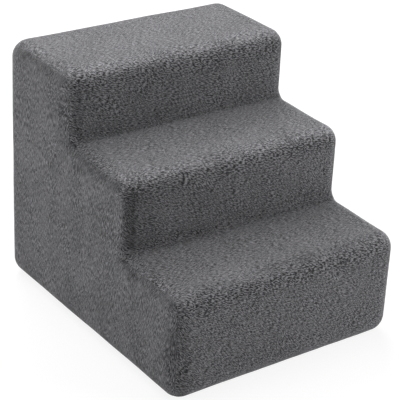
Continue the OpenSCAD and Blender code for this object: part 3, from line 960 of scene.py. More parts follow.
# %% The rubber dots
# One dome at the corner of the pattern, and two arrays that repeat it along and across
dots_across = 2 * int((HALF_FLAT - DOT_R) / DOT_PITCH) + 1
dots_along = 2 * int((BACK_Y - EDGE_R - DOT_R) / DOT_PITCH) + 1
dome_h = FOOT_Z + BASE_DEPTH + DOT_EMBED
shape = bmesh.new()
bmesh.ops.create_uvsphere(shape, u_segments=12, v_segments=8, radius=1)
upper = [vert for vert in shape.verts if vert.co.z > 1e-6]
bmesh.ops.delete(shape, geom=upper, context="VERTS")
close_holes(shape)
first_dot = (-(dots_across - 1) / 2 * DOT_PITCH, -(dots_along - 1) / 2 * DOT_PITCH, dome_h)
bmesh.ops.transform(shape, verts=shape.verts[:], matrix=Matrix.Translation(first_dot)
                    @ Matrix.Diagonal((DOT_R, DOT_R, dome_h, 1)))
grip_dots = new_object("base_grip_dots", shape)
for count, pitch in ((dots_across, (DOT_PITCH, 0, 0)), (dots_along, (0, DOT_PITCH, 0))):
    repeat = grip_dots.modifiers.new("Repeat", "ARRAY")
    repeat.count, repeat.use_relative_offset, repeat.use_constant_offset = count, False, True
    repeat.constant_offset_displace = pitch
print(grip_dots.name, dots_across, "by", dots_along)

# %% [markdown]
# ## The zip
# A nylon zip is two woven tapes with a coil sewn along the edge of each. A coil is one
# continuous monofilament that loops over and over, so each is drawn here as one curve with a
# round section. The slider's wedge runs in the gap between the two.

# %% The tapes
TAPE_Y, TAPE_T = 221.6 * MM, 0.6 * MM
CHAIN_GAP, TAPE_W = 1.2 * MM, 14 * MM
TAPE_CELLS, TAPE_SPACING = 6, 3 * MM     # cells across a tape, and the length of one
COIL_Y = TAPE_Y + TAPE_T


def lay_tape(name, inner, outer):
    """A tape along the zip between two offsets, facing out of the back."""
    count = steps_over(ZIP_LENGTH, TAPE_SPACING)
    lengths = [min(ZIP_LENGTH * i / count, ZIP_LENGTH) for i in range(count + 1)]
    offsets = [inner + (outer - inner) * i / TAPE_CELLS for i in range(TAPE_CELLS + 1)]
    shape, grid = grid_shape(lengths, offsets)
    pattern = {vert: (offset, length) for vert, (length, offset) in grid}
    for vert, (offset, length) in pattern.items():
        (x, z), ahead = on_zip(length, offset)
        vert.co = (x, COIL_Y, z)
    tape = sheet_object(name, shape, pattern, Vector((ZIP_X, COIL_Y, CORNER_Z)), BACKWARD)
    return thicken(tape, TAPE_T, 0.15 * MM)


tapes = {"outer": lay_tape("tape_outer", CHAIN_GAP / 2, TAPE_W),
         "inner": lay_tape("tape_inner", -TAPE_W, -CHAIN_GAP / 2)}

# %% The coils
COIL_PITCH = 1.6 * MM
WIRE_R = 0.34 * MM
COIL_HEAD, COIL_TAIL, COIL_H = 0.45 * MM, 3.2 * MM, 1.4 * MM
COIL_END = 17.6 * MM     # where the coil stops below the zip's end
# One turn: share of the way from head to tail, share of the height, share of the pitch
TURN = [(0.96, 0.0, 0.0), (0.25, 0.0, 0.06), (0.0, 0.5, 0.25), (0.25, 1.0, 0.44),
        (0.92, 1.0, 0.56), (1.0, 0.5, 0.78)]


def evaluated_mesh(source):
    """The mesh of an object with its modifiers applied, or of a curve's tube."""
    graph = bpy.context.evaluated_depsgraph_get()
    return bpy.data.meshes.new_from_object(source.evaluated_get(graph))


def wind_coil(name, side, lag):
    """A continuous coil along the zip: side is 1 outside the chain's middle and -1 inside it."""
    length = ZIP_LENGTH - 2 * COIL_END
    turns = int(length / COIL_PITCH)
    curve = bpy.data.curves.new(name, "CURVE")
    curve.dimensions = "3D"
    curve.bevel_depth, curve.bevel_resolution, curve.use_fill_caps = WIRE_R, 1, True
    points = []
    for turn in range(turns):
        for reach, height, ahead in TURN:
            at = COIL_END + (turn + ahead + lag) * length / (turns + 1)
            offset = COIL_HEAD + WIRE_R + reach * (COIL_TAIL - COIL_HEAD - 2 * WIRE_R)
            (x, z), direction = on_zip(at, side * offset)
            points += [x, COIL_Y + WIRE_R + height * (COIL_H - 2 * WIRE_R), z, 1.0]
    spline = curve.splines.new("POLY")
    spline.points.add(len(points) // 4 - 1)
    spline.points.foreach_set("co", points)
    line = add_object(name + "_line", curve)
    mesh = evaluated_mesh(line)
    bpy.data.objects.remove(line)
    mesh.name = name
    mesh.polygons.foreach_set("use_smooth", [True] * len(mesh.polygons))
    print(name, len(mesh.polygons), "faces")
    return add_object(name, mesh)


coils = {"outer": wind_coil("coil_outer", 1, 0.0), "inner": wind_coil("coil_inner", -1, 0.5)}

# %% [markdown]
# ## Thread
# The plush is sewn to each tape along the slot, in one line of lockstitch on either side.
# Each stitch that shows is a short, plump length of thread with its ends drawn into the
# cloth. One stitch is modelled once and set down again and again along the line.

# %% Stitches
STITCH_L, STITCH_GAP, THREAD_R = 3.2 * MM, 0.8 * MM, 0.32 * MM
STITCH_DIP, STITCH_PROUD = 0.45 * MM, 0.12 * MM    # how deep its ends sink, how high it lies


def one_stitch():
    """A short length of thread along X: a tube with rounded, sinking ends."""
    shape = bmesh.new()
    bmesh.ops.create_uvsphere(shape, u_segments=8, v_segments=6, radius=1)
    bmesh.ops.rotate(shape, verts=shape.verts[:], matrix=Matrix.Rotation(math.pi / 2, 3, "Y"))
    for vert in shape.verts:
        end = abs(vert.co.x)
        plump = THREAD_R * (1.0 if end < 0.6 else 0.9)
        vert.co = Vector((vert.co.x * STITCH_L / 2, vert.co.y * plump,
                          vert.co.z * plump - STITCH_DIP * end ** 3))
    mesh = bpy.data.meshes.new("One stitch")
    shape.to_mesh(mesh)
    shape.free()
    return mesh


def sew(shape, place, ahead, scale=1.0):
    """Adds a stitch to a bmesh at a place on the back, along ahead."""
    start = len(shape.verts)
    shape.from_mesh(stitch_mesh)
    shape.verts.ensure_lookup_table()
    turn = Matrix((ahead, BACKWARD.cross(ahead), BACKWARD)).transposed().to_4x4()
    bmesh.ops.transform(shape, verts=shape.verts[start:],
                        matrix=Matrix.Translation(place) @ turn @ Matrix.Scale(scale, 4))


stitch_mesh = one_stitch()
shape = bmesh.new()
pitch = STITCH_L + STITCH_GAP
stitch_count = int((ZIP_LENGTH - 2 * MM) / pitch)
for offset in (STITCH_OFFSET, -STITCH_OFFSET):
    for index in range(stitch_count):
        (x, z), (ax, az) = on_zip(MM + (index + 0.5) * pitch, offset)
        if offset < 0:
            place = flap_place(x, z, 1)
        else:
            place = sink_at_zip(settle(Vector((x, BACK_Y, z)), BACKWARD, 1), BACKWARD)
        sew(shape, place + BACKWARD * STITCH_PROUD, Vector((ax, 0, az)))
zip_stitches = new_object("zip_stitches", shape)
print(2 * stitch_count, "stitches")

# %% [markdown]
# ## Metal and cloth at the zip's ends
# The slider is two wings joined by a wedge, with flanges that turn in over the coils and a
# crown that holds the pull. It is die-cast, so every edge is soft. The pull is a stamped tab
# with a raised border, a hole and a round bar that turns under the crown. Small plates, blocks
# and rods with soft edges make all of it, and Boolean cuts pierce the pull.

# %% Helpers for small hard parts
def soften(shape, edges, bevel, segments):
    """Rounds some edges of a bmesh."""
    bmesh.ops.bevel(shape, geom=list(edges), offset=bevel, segments=segments, profile=0.5,
                    affect="EDGES", material=-1, clamp_overlap=True)


def block(shape, low, high, bevel, segments=3):
    """A block between two corners, with soft edges, added to a bmesh."""
    low, high = Vector(low), Vector(high)
    verts = bmesh.ops.create_cube(shape, size=1)["verts"]
    bmesh.ops.transform(shape, verts=verts, matrix=Matrix.Translation((low + high) / 2)
                        @ Matrix.Diagonal((*(high - low), 1)))
    soften(shape, {edge for vert in verts for edge in vert.link_edges}, bevel, segments)


def plate(shape, corners, depth, bevel, segments=3):
    """A plate from its flat outline and the vector of its depth, soft edged, added to a bmesh."""
    verts = [shape.verts.new(corner) for corner in corners]
    grown = bmesh.ops.extrude_face_region(shape, geom=[shape.faces.new(verts)])
    moved = [item for item in grown["geom"] if isinstance(item, bmesh.types.BMVert)]
    bmesh.ops.translate(shape, verts=moved, vec=depth)
    rims = {edge for vert in verts + moved for edge in vert.link_edges
            if abs((edge.verts[0].co - edge.verts[1].co).dot(Vector(depth))) < 1e-12}
    soften(shape, rims, bevel, segments)


def back_plate(shape, outline, y_low, y_high, bevel, segments=3):
    """A plate that lies flat on the back: its outline is in X and Z."""
    plate(shape, [(x, y_low, z) for x, z in outline], (0, y_high - y_low, 0), bevel, segments)


def rod(shape, place, axis, radius, length, segments):
    """A round rod through a place, first made upright and then turned about an axis."""
    verts = bmesh.ops.create_cone(shape, cap_ends=True, segments=segments, radius1=radius,
                                  radius2=radius, depth=length)["verts"]
    bmesh.ops.rotate(shape, verts=verts, matrix=Matrix.Rotation(math.pi / 2, 3, axis))
    bmesh.ops.translate(shape, verts=verts, vec=place)


def finished(name, shape):
    """Recalculates normals and makes the object."""
    bmesh.ops.recalc_face_normals(shape, faces=shape.faces[:])
    return new_object(name, shape)


def carve(piece, name, shape):
    """Cuts a bmesh out of a piece with one Boolean."""
    cutter = finished(name, shape)
    modifier = piece.modifiers.new("Carve", "BOOLEAN")
    modifier.object, modifier.operation, modifier.solver = cutter, "DIFFERENCE", "EXACT"
    mesh = evaluated_mesh(piece)
    piece.modifiers.clear()
    piece.data = mesh
    bpy.data.objects.remove(cutter)


def power(value, exponent):
    """A power that keeps the sign: it squares off a sine or a cosine."""
    return math.copysign(abs(value) ** exponent, value)


def oval(half_w, half_l, squareness, count):
    """A rounded outline between an ellipse (squareness 2) and a rectangle (higher)."""
    angles = [math.tau * i / count for i in range(count)]
    return [(power(math.cos(angle), 2 / squareness) * half_w,
             power(math.sin(angle), 2 / squareness) * half_l) for angle in angles]


# %% The slider
slider_low, slider_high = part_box("zip_slider")
SLIDER_Z = (slider_low.z + slider_high.z) / 2
SLIDER_HALF_W, SLIDER_HALF_L = (slider_high.x - slider_low.x) / 2, 6 * MM
WING_T, PLAY = 1.0 * MM, 0.2 * MM
BACK_WING_Y, FRONT_WING_Y = 220.4 * MM, 223.8 * MM
IN_WING_Y = FRONT_WING_Y + WING_T / 2            # where the other parts end in the front wing
BAR_Y, BAR_Z, BAR_R = 225.6 * MM, 315.15 * MM, 0.6 * MM
CROWN_Y, CROWN_T, CROWN_HALF_W = 226.4 * MM, 1.0 * MM, 1.2 * MM
CROWN_LOW, CROWN_HIGH = 313.35 * MM, 321.35 * MM
ARCH_POWER = 0.35                                # how square the crown's arch is
FLANGE_IN, FLANGE_OUT, FLANGE_HALF_L = 0.85 * MM, 0.1 * MM, 3 * MM
WEDGE_HALF_W, WEDGE_L = 0.4 * MM, 5.9 * MM
# How much the wings narrow, and from which share of their half length
TAIL_TAPER, TAIL_FROM, SHOULDER_TAPER, SHOULDER_FROM = 0.30, 0.1, 0.16, 0.2


def wing_outline():
    """The slider seen from behind: wide shoulders and a narrower closed end."""
    points = []
    for x, z in oval(SLIDER_HALF_W, SLIDER_HALF_L, 3.2, 48):
        share = z / SLIDER_HALF_L
        tail, shoulder = max(0.0, -share - TAIL_FROM), max(0.0, share - SHOULDER_FROM)
        taper = 1 - TAIL_TAPER * tail ** 1.5 - SHOULDER_TAPER * shoulder ** 1.5
        points.append((ZIP_X + x * taper, SLIDER_Z + z))
    return points


def arch_line(half_l, height):
    """A line of the crown's side view, from its low foot over the bar to its high one: Y, Z."""
    angles = [math.radians(180 - 10 * i) for i in range(19)]
    return [(IN_WING_Y + height * abs(math.sin(angle)) ** ARCH_POWER,
             (CROWN_LOW + CROWN_HIGH) / 2 + half_l * power(math.cos(angle), ARCH_POWER))
            for angle in angles]


shape = bmesh.new()
back_plate(shape, wing_outline(), BACK_WING_Y, BACK_WING_Y + WING_T, 0.25 * MM)
back_plate(shape, wing_outline(), FRONT_WING_Y, FRONT_WING_Y + WING_T, 0.38 * MM, 4)
for side in (-1, 1):
    xs = sorted(ZIP_X + side * (SLIDER_HALF_W - inset) for inset in (FLANGE_IN, FLANGE_OUT))
    block(shape, (xs[0], COIL_Y + PLAY, SLIDER_Z - FLANGE_HALF_L),
          (xs[1], IN_WING_Y, SLIDER_Z + FLANGE_HALF_L), 0.15 * MM)
block(shape, (ZIP_X - WEDGE_HALF_W, BACK_WING_Y + WING_T / 2, SLIDER_Z + FLANGE_HALF_L),
      (ZIP_X + WEDGE_HALF_W, IN_WING_Y, SLIDER_Z + WEDGE_L), 0.1 * MM)
# The crown: a strap bent over the bar, drawn as its side view and given its width
arch_l, arch_h = (CROWN_HIGH - CROWN_LOW) / 2, CROWN_Y + CROWN_T - IN_WING_Y
strap = arch_line(arch_l, arch_h) + arch_line(arch_l - CROWN_T, arch_h - CROWN_T)[::-1]
plate(shape, [(ZIP_X - CROWN_HALF_W, y, z) for y, z in strap], (2 * CROWN_HALF_W, 0, 0),
      0.22 * MM, 2)
slider = finished("slider_body", shape)
print(slider.name, len(slider.data.polygons), "faces")

# %% The pull
PULL_W, PULL_L, HOLE_R = 7 * MM, 24 * MM, 1.7 * MM
END_Z = BAR_Z - PULL_L + PULL_W / 2
WINDOW_HALF_W, WINDOW_L, WAIST = 1.55 * MM, 7.6 * MM, 0.55 * MM
PANEL_HALF_W, PANEL_HALF_L, PANEL_FACE = 1.9 * MM, 2.9 * MM, 0.38 * MM
CUT_PAST = 2 * MM                    # how far a cutter reaches past what it cuts


def pull_outline():
    """The tab seen from behind: square shoulders at the bar, a little waist, a round end."""
    flank = [(PULL_W / 2 - WAIST * math.sin(math.pi * i / 9) ** 2, BAR_Z + (END_Z - BAR_Z) * i / 9)
             for i in range(1, 9)]
    points = [(PULL_W / 2, BAR_Z), (-PULL_W / 2, BAR_Z)] + [(-x, z) for x, z in flank]
    for i in range(19):
        angle = math.radians(180 + 10 * i)
        points.append((PULL_W / 2 * math.cos(angle), END_Z + PULL_W / 2 * math.sin(angle)))
    return [(ZIP_X + x, z) for x, z in points + flank[::-1]]


shape = bmesh.new()
back_plate(shape, pull_outline(), BAR_Y - BAR_R, BAR_Y + BAR_R, 0.3 * MM)
pull = finished("pull_tab", shape)

holes = bmesh.new()
rod(holes, (ZIP_X, BAR_Y, END_Z), "X", HOLE_R, 6 * MM, 32)
block(holes, (ZIP_X - WINDOW_HALF_W, BAR_Y - 3 * MM, BAR_Z - WINDOW_L),
      (ZIP_X + WINDOW_HALF_W, BAR_Y + 3 * MM, BAR_Z + CUT_PAST), 0.4 * MM, 2)
carve(pull, "Pull holes", holes)

# A shallow panel is sunk into both faces, so that a border stands round it
panel_z = (BAR_Z - WINDOW_L + END_Z) / 2 + 0.4 * MM
outline = [(ZIP_X + x, panel_z + z) for x, z in oval(PANEL_HALF_W, PANEL_HALF_L, 3.4, 32)]
for low, high in ((-CUT_PAST, -PANEL_FACE), (PANEL_FACE, CUT_PAST)):
    sunk = bmesh.new()
    back_plate(sunk, outline, BAR_Y + low, BAR_Y + high, 0.02 * MM, 1)
    carve(pull, "Sunk panel", sunk)

shape = bmesh.new()
shape.from_mesh(pull.data)
rod(shape, (ZIP_X, BAR_Y, BAR_Z), "Y", BAR_R, PULL_W - 0.1 * MM, 20)
shape.to_mesh(pull.data)
shape.free()
pull.data.polygons.foreach_set("use_smooth", [True] * len(pull.data.polygons))
soft = pull.modifiers.new("Soft arrises", "BEVEL")
soft.width, soft.segments, soft.limit_method = 0.1 * MM, 2, "ANGLE"
soft.angle_limit = math.radians(40)
print(pull.name, len(pull.data.polygons), "faces")

# %% The stops
STOP_L, STOP_Z = 3 * MM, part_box("zip_stops")[0].z
COIL_REACH = CHAIN_GAP / 2 + 2.6 * MM
CLIP_H, RIB_LOW = COIL_H * 0.82, COIL_H * 0.5
RIBS, RIB_HALF_L, RIB_INSET = 2, 0.32 * MM, 0.2 * MM
# Each stop is a metal clip crimped over the coil, with pressed ribs across it
shape = bmesh.new()
for left, right in ((ZIP_X - COIL_REACH, ZIP_X - CHAIN_GAP / 2),
                    (ZIP_X + CHAIN_GAP / 2, ZIP_X + COIL_REACH),
                    (-ZIP_X - COIL_REACH, -ZIP_X + COIL_REACH)):
    block(shape, (left, COIL_Y, STOP_Z), (right, COIL_Y + CLIP_H, STOP_Z + STOP_L), 0.3 * MM)
    for rib in range(1, RIBS + 1):
        z = STOP_Z + STOP_L * rib / (RIBS + 1)
        block(shape, (left + RIB_INSET, COIL_Y + RIB_LOW, z - RIB_HALF_L),
              (right - RIB_INSET, COIL_Y + COIL_H, z + RIB_HALF_L), 0.2 * MM)
stops = finished("stop_clips", shape)
print(stops.name, len(stops.data.polygons), "faces")

# %% The end tabs
tab_low, tab_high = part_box("zip_end_tabs")
TAB_HALF_W, TAB_T = tab_high.x - ZIP_X, tab_high.y - BACK_Y
TAB_LOW_Z, TAB_HIGH_Z = tab_low.z, tab_high.z
TAB_EDGE = 2.2 * MM                               # from the patch's edge to its stitches
TAB_STITCH_L, TAB_STITCH_GAP, TAB_STITCH_PROUD = 1.9 * MM, 0.5 * MM, 0.08 * MM
TAB_RISE, TAB_RISE_REACH = 0.35 * MM, 6 * MM      # over the chain
TAB_SINK, TAB_SINK_REACH = 0.28 * MM, 0.8 * MM    # along the stitches


def tab_height(x, z):
    """The patch lies over the chain, and is pressed down along its own line of stitches."""
    edge = min(TAB_HALF_W - abs(x), z - TAB_LOW_Z, TAB_HIGH_Z - z)
    seam = math.exp(-((edge - TAB_EDGE) / TAB_SINK_REACH) ** 2)
    return BACK_Y + TAB_T + TAB_RISE * fade(abs(x) / TAB_RISE_REACH) - TAB_SINK * seam


patches, shape = bmesh.new(), bmesh.new()
half_w, low, high = TAB_HALF_W - TAB_EDGE, TAB_LOW_Z + TAB_EDGE, TAB_HIGH_Z - TAB_EDGE
corners = [(-half_w, low), (half_w, low), (half_w, high), (-half_w, high)]
for zip_side in (-ZIP_X, ZIP_X):
    grid = bmesh.ops.create_grid(patches, x_segments=34, y_segments=20, size=0.5)
    for vert in grid["verts"]:
        x = vert.co.x * 2 * TAB_HALF_W
        z = TAB_LOW_Z + (vert.co.y + 0.5) * (TAB_HIGH_Z - TAB_LOW_Z)
        vert.co = (zip_side + x, tab_height(x, z), z)
    for (ax, az), (bx, bz) in zip(corners, corners[1:] + corners[:1]):
        length = math.hypot(bx - ax, bz - az)
        count = round(length / (TAB_STITCH_L + TAB_STITCH_GAP))
        ahead = Vector(((bx - ax) / length, 0, (bz - az) / length))
        for i in range(count):
            share = (i + 0.5) / count
            x, z = ax + (bx - ax) * share, az + (bz - az) * share
            place = Vector((zip_side + x, tab_height(x, z) + TAB_STITCH_PROUD, z))
            sew(shape, place, ahead, TAB_STITCH_L / STITCH_L)
patches.normal_update()
inward = [face for face in patches.faces if face.normal.y < 0]
bmesh.ops.reverse_faces(patches, faces=inward)
end_tabs = thicken(new_object("end_tab_patches", patches), 0.55 * MM, 0.2 * MM)
tab_stitches = new_object("end_tab_stitches", shape)
print(tab_stitches.name, len(tab_stitches.data.polygons), "faces")

# %% [markdown]
# ## Helpers for patterns
# Every finish below gets its pattern from noise, in a node group that is built once and
# placed in each material that needs it. Noise is round by nature. To draw streaks or
# threads from it, the coordinates are turned and divided by the size of one cell, and a
# second, softer noise pushes them about so that straight lines bend.

# %% Groups and small node steps
def new_group(name, inputs, outputs):
    """A shader node group with named sockets: (name, kind, default or None)."""
    group = bpy.data.node_groups.new(name, "ShaderNodeTree")
    for socket_name, kind, default in inputs:
        socket = group.interface.new_socket(socket_name, in_out="INPUT", socket_type=kind)
        if default is not None:
            socket.default_value = default
    for socket_name, kind in outputs:
        group.interface.new_socket(socket_name, in_out="OUTPUT", socket_type=kind)
    source = add_node(group, "NodeGroupInput")
    target = add_node(group, "NodeGroupOutput")
    return group, source.outputs, target.inputs


def spread_noise(tree, vector, detail=2.0, roughness=0.5, flat=True):
    """A noise texture's two outputs, at one cell for each unit of the vector."""
    return add_node(tree, "ShaderNodeTexNoise", {
        "Vector": vector, "Scale": 1.0, "Detail": detail, "Roughness": roughness
    }, noise_dimensions="2D" if flat else "3D").outputs


def in_cells(tree, vector, across, along, turn=0.0, shift=0.0):
    """Coordinates in cells of so many metres across and along, after a turn in degrees."""
    return add_node(tree, "ShaderNodeMapping", {
        "Vector": vector,
        "Scale": (across, along, across),
        "Rotation": (0, 0, math.radians(turn)),
        "Location": (shift, shift * 0.7, 0),
    }, vector_type="TEXTURE").outputs[0]


def swirled(tree, vector, size, reach, shift):
    """Coordinates pushed about, up to a reach in metres, by a soft noise of a given size."""
    colour = spread_noise(tree, in_cells(tree, vector, size, size, 0, shift), 1.0)["Color"]
    centred = vector_math(tree, "SUBTRACT", colour, (0.5, 0.5, 0.5))
    return vector_math(tree, "ADD", vector,
                       vector_math(tree, "MULTIPLY", centred, (reach, reach, 0)))


def spread_out(tree, value, low, high):
    """A value from low to high, stretched to 0 to 1 and kept there."""
    return add_node(tree, "ShaderNodeMapRange", {
        "Value": value, "From Min": low, "From Max": high
    }).outputs[0]


def mixed(tree, share, a, b):
    """A number between two others."""
    return add_node(tree, "ShaderNodeMix", {"Factor": share, 2: a, 3: b}).outputs[0]


def mixed_colour(tree, share, a, b):
    """A colour between two others."""
    return add_node(tree, "ShaderNodeMix", {"Factor": share, 6: a, 7: b},
                    data_type="RGBA").outputs[2]


def add_bump(tree, shader, height, depth, strength):
    """Feeds a height, in shares of a depth in metres, to the shader's normal."""
    bump = add_node(tree, "ShaderNodeBump", {
        "Strength": strength, "Distance": depth, "Height": height
    })
    tree.links.new(bump.outputs[0], shader.inputs["Normal"])


# %% [markdown]
# ## Short-pile plush
# The pile is about three millimetres long and lies over in tufts. Up close the cloth is a
# field of small streaks that follow the nap and swirl where it was brushed. They run upright
# on the sides and slant on the treads and risers. Along each nosing the pile is combed into
# level, wavy rows. Where it is combed over a rounded edge it lies calm, with less contrast.
# Painted highlight and painted shade scale the colour: paler on the nosings' crowns, darker
# below them, in the creases and near the floor, paler or darker across the side edges, and
# each step panel is darker on its treads or risers. Plush also looks paler at a glancing
# angle, which is the shader's sheen. The vertex layers made with each panel say where this happens.

# %% Node group for the pile
UPRIGHT_TUFT, TREAD_TUFT = (1.0 * MM, 5.2 * MM), (1.1 * MM, 5.5 * MM)  # across, along the nap
FIBRE, COMBED_ROW = (0.32 * MM, 2.2 * MM), (4.8 * MM, 1.3 * MM)
TREAD_TURN, ROW_TURN = -30, 17  # degrees, of the tufts on treads and of the rows on nosings
# Each swirl: its size, how far it pushes, and its place in the noise
BRUSHING, CURL, WAVES = (55 * MM, 18 * MM, 0.0), (9 * MM, 2 * MM, 3.1), (15 * MM, 4 * MM, 8.0)
CLOUD_SWIRL, CLOUD = (90 * MM, 90 * MM, 1.7), (42 * MM, 60 * MM, 20, 4.0)
MARK = (60 * MM, 34 * MM, 30, 9.0)
FIBRE_SHARE, COMBED_SHARE, CLOUD_CONTRAST, MARK_CONTRAST = 0.22, 0.75, 0.6, -0.2
MARK_LEVEL, MARK_WIDTH = 0.56, 0.022
MEAN_TONE, CALM_TONE, CALM_SHARE = 0.28, 0.34, 0.5
HAIR_SHARE, HAIR_DARK, HAIR_PALE = 0.10, 0.55, 1.45
PILE_LAYERS = ("Nosing", "Upright", "Calm")
pile, given, made = new_group("Combed pile", [
    ("Cloth", "NodeSocketVector", None),
    ("Nap", "NodeSocketVector", None),
    ("Nosing", "NodeSocketFloat", 0.0),
    ("Upright", "NodeSocketFloat", 1.0),
    ("Calm", "NodeSocketFloat", 0.0),
    ("Contrast", "NodeSocketFloat", 4.0),
], [("Height", "NodeSocketFloat"), ("Tone", "NodeSocketFloat")])


def pile_noise(vector, cell, detail, roughness=0.5):
    """Noise in cells: across and along, with the turn and the place in the noise if given."""
    return spread_noise(pile, in_cells(pile, vector, *cell), detail, roughness)["Fac"]


def pile_math(operation, *values, clamp=False):
    """One operation on numbers of the pile."""
    return number_math(pile, operation, *values, clamp=clamp)


brushed = swirled(pile, given["Nap"], *BRUSHING)
curled = swirled(pile, brushed, *CURL)
upright_tufts = pile_noise(curled, UPRIGHT_TUFT, 2.5, 0.75)
tread_tufts = pile_noise(curled, (*TREAD_TUFT, TREAD_TURN, 6.0), 2.0, 0.7)
tufts = mixed(pile, given["Upright"], tread_tufts, upright_tufts)
fibres = pile_noise(curled, (*FIBRE, 0, 5.0), 2.0, 0.6)
combed = pile_noise(swirled(pile, given["Cloth"], *WAVES), (*COMBED_ROW, ROW_TURN, 2.0), 1.5)
lean = mixed(pile, pile_math("MULTIPLY", given["Nosing"], COMBED_SHARE), tufts, combed)
# Where the pile is combed over a rounded edge it lies calm, with half the contrast
evened = pile_math("MULTIPLY", given["Calm"], CALM_SHARE)
pile.links.new(mixed(pile, evened, mixed(pile, FIBRE_SHARE, lean, fibres), 0.5), made["Height"])
contrast = pile_math("MULTIPLY", given["Contrast"], mixed(pile, evened, 1.0, 0.0))
streaks = pile_math("MULTIPLY", pile_math("SUBTRACT", lean, 0.5), contrast)

# Clouds, where patches of pile lean another way, and a few curved marks of a finger
cloud = pile_noise(swirled(pile, given["Nap"], *CLOUD_SWIRL), CLOUD, 2.5)
clouds = pile_math("MULTIPLY", pile_math("SUBTRACT", cloud, 0.5), CLOUD_CONTRAST)
off_line = pile_math("ABSOLUTE", pile_math("SUBTRACT", pile_noise(brushed, MARK, 0.0), MARK_LEVEL))
marks = pile_math("MULTIPLY", spread_out(pile, off_line, MARK_WIDTH, 0.0),
                  pile_math("MULTIPLY", given["Upright"], MARK_CONTRAST))
tone = pile_math("ADD", pile_math("ADD", streaks, clouds), marks)
tone = pile_math("ADD", tone, mixed(pile, given["Calm"], MEAN_TONE, CALM_TONE), clamp=True)
# Single fibres: pale hairs that shade every tuft, too fine to see from a few steps away
hairs = spread_out(pile, fibres, 0.3, 0.7)
pile.links.new(pile_math("MULTIPLY", mixed(pile, HAIR_SHARE, tone, hairs),
                         mixed(pile, hairs, HAIR_DARK, HAIR_PALE)), made["Tone"])
print("group:", pile.name)

# %% The plush of each panel
def plush_grey(value):
    """The dye: a grey with a little blue and a trace of red in it."""
    return (value * 0.997, value * 0.99, value * 1.045, 1)


PLUSH_DEEP, PLUSH_TIP, PLUSH_PREVIEW = plush_grey(0.004), plush_grey(0.345), (0.15, 0.15, 0.155, 1)
PILE_DEPTH, PILE_BUMP = 1.2 * MM, 0.65
PLUSH_FINISH = {
    "Roughness": 0.95, "Specular IOR Level": 0.15,
    "Sheen Weight": 0.35, "Sheen Roughness": 0.5, "Sheen Tint": (0.97, 0.97, 1.0, 1),
}


def cloth_place(tree):
    """Each point's place on the flat cloth."""
    return add_node(tree, "ShaderNodeUVMap", uv_map="Cloth").outputs[0]


def plush_material(name, shift, turn, comb, contrast, tread_shade_factor, upright_shade_factor):
    """Plush from one place on the bolt, its nap turned some degrees and combed longer."""
    material, tree, shader = start_material(name, PLUSH_PREVIEW, PLUSH_FINISH)
    cloth = vector_math(tree, "ADD", cloth_place(tree), (shift, shift * 1.3, 0))
    nap = add_node(tree, "ShaderNodeMapping", {
        "Vector": cloth, "Rotation": (0, 0, math.radians(turn)), "Scale": (1, 1 / comb, 1)
    }).outputs[0]
    layers = {layer: add_node(tree, "ShaderNodeAttribute", attribute_name=layer).outputs["Fac"]
              for layer in PILE_LAYERS + ("PaintedLight",)}
    combing = add_node(tree, "ShaderNodeGroup", {
        "Cloth": cloth, "Nap": nap, "Contrast": contrast,
        **{layer: layers[layer] for layer in PILE_LAYERS}
    }, node_tree=pile).outputs
    # Painted shade: the colour is scaled by the panel's factor for treads or upright faces, and by
    # the layer of painted highlight and shade
    pale = mixed(tree, layers["Upright"], tread_shade_factor, upright_shade_factor)
    colour = add_node(tree, "ShaderNodeVectorMath", {
        0: mixed_colour(tree, combing["Tone"], PLUSH_DEEP, PLUSH_TIP),
        "Scale": number_math(tree, "MULTIPLY", layers["PaintedLight"], pale)
    }, operation="SCALE").outputs[0]
    tree.links.new(colour, shader.inputs["Base Color"])
    add_bump(tree, shader, combing["Height"], PILE_DEPTH, PILE_BUMP)
    return material


# For each panel: where its pattern starts, the turn of its nap, how much longer it is combed,
# the contrast of its streaks, and its painted shade on the treads and on upright faces, as factors on
# its colour
PLUSH_CUTS = {
    "cover_side_left": (0.31, -6, 1.35, 6.0, 1.0, 1.01),
    "cover_side_right": (1.73, 6, 1.35, 6.0, 1.0, 1.01),
    "cover_step_lower": (2.41, 55, 1.0, 9.5, 0.79, 0.99),
    "cover_step_middle": (3.77, 57, 1.0, 9.5, 0.87, 0.91),
    "cover_step_upper": (5.13, 64, 1.0, 9.5, 0.88, 0.90),
    "cover_back_surround": (6.29, 0, 1.2, 4.8, 1.0, 1.0),
    "cover_back_flap": (7.93, 0, 1.2, 4.8, 1.0, 1.0),
}
plush = {node: plush_material("Plush of " + node, *cut) for node, cut in PLUSH_CUTS.items()}
print("plush for", len(plush), "panels")

# %% [markdown]
# ## Woven cloth, foam, nylon, rubber and metal
# The tapes, the patches at their ends and the base cloth are plain weaves: a thread goes
# over one and under one, like the squares of a chess board, so a checker of two rounded
# profiles draws it. Foam is a froth of open cells, which is what a Voronoi texture is. The
# slider, pull and stops are plated zinc, rubbed paler where they are handled.

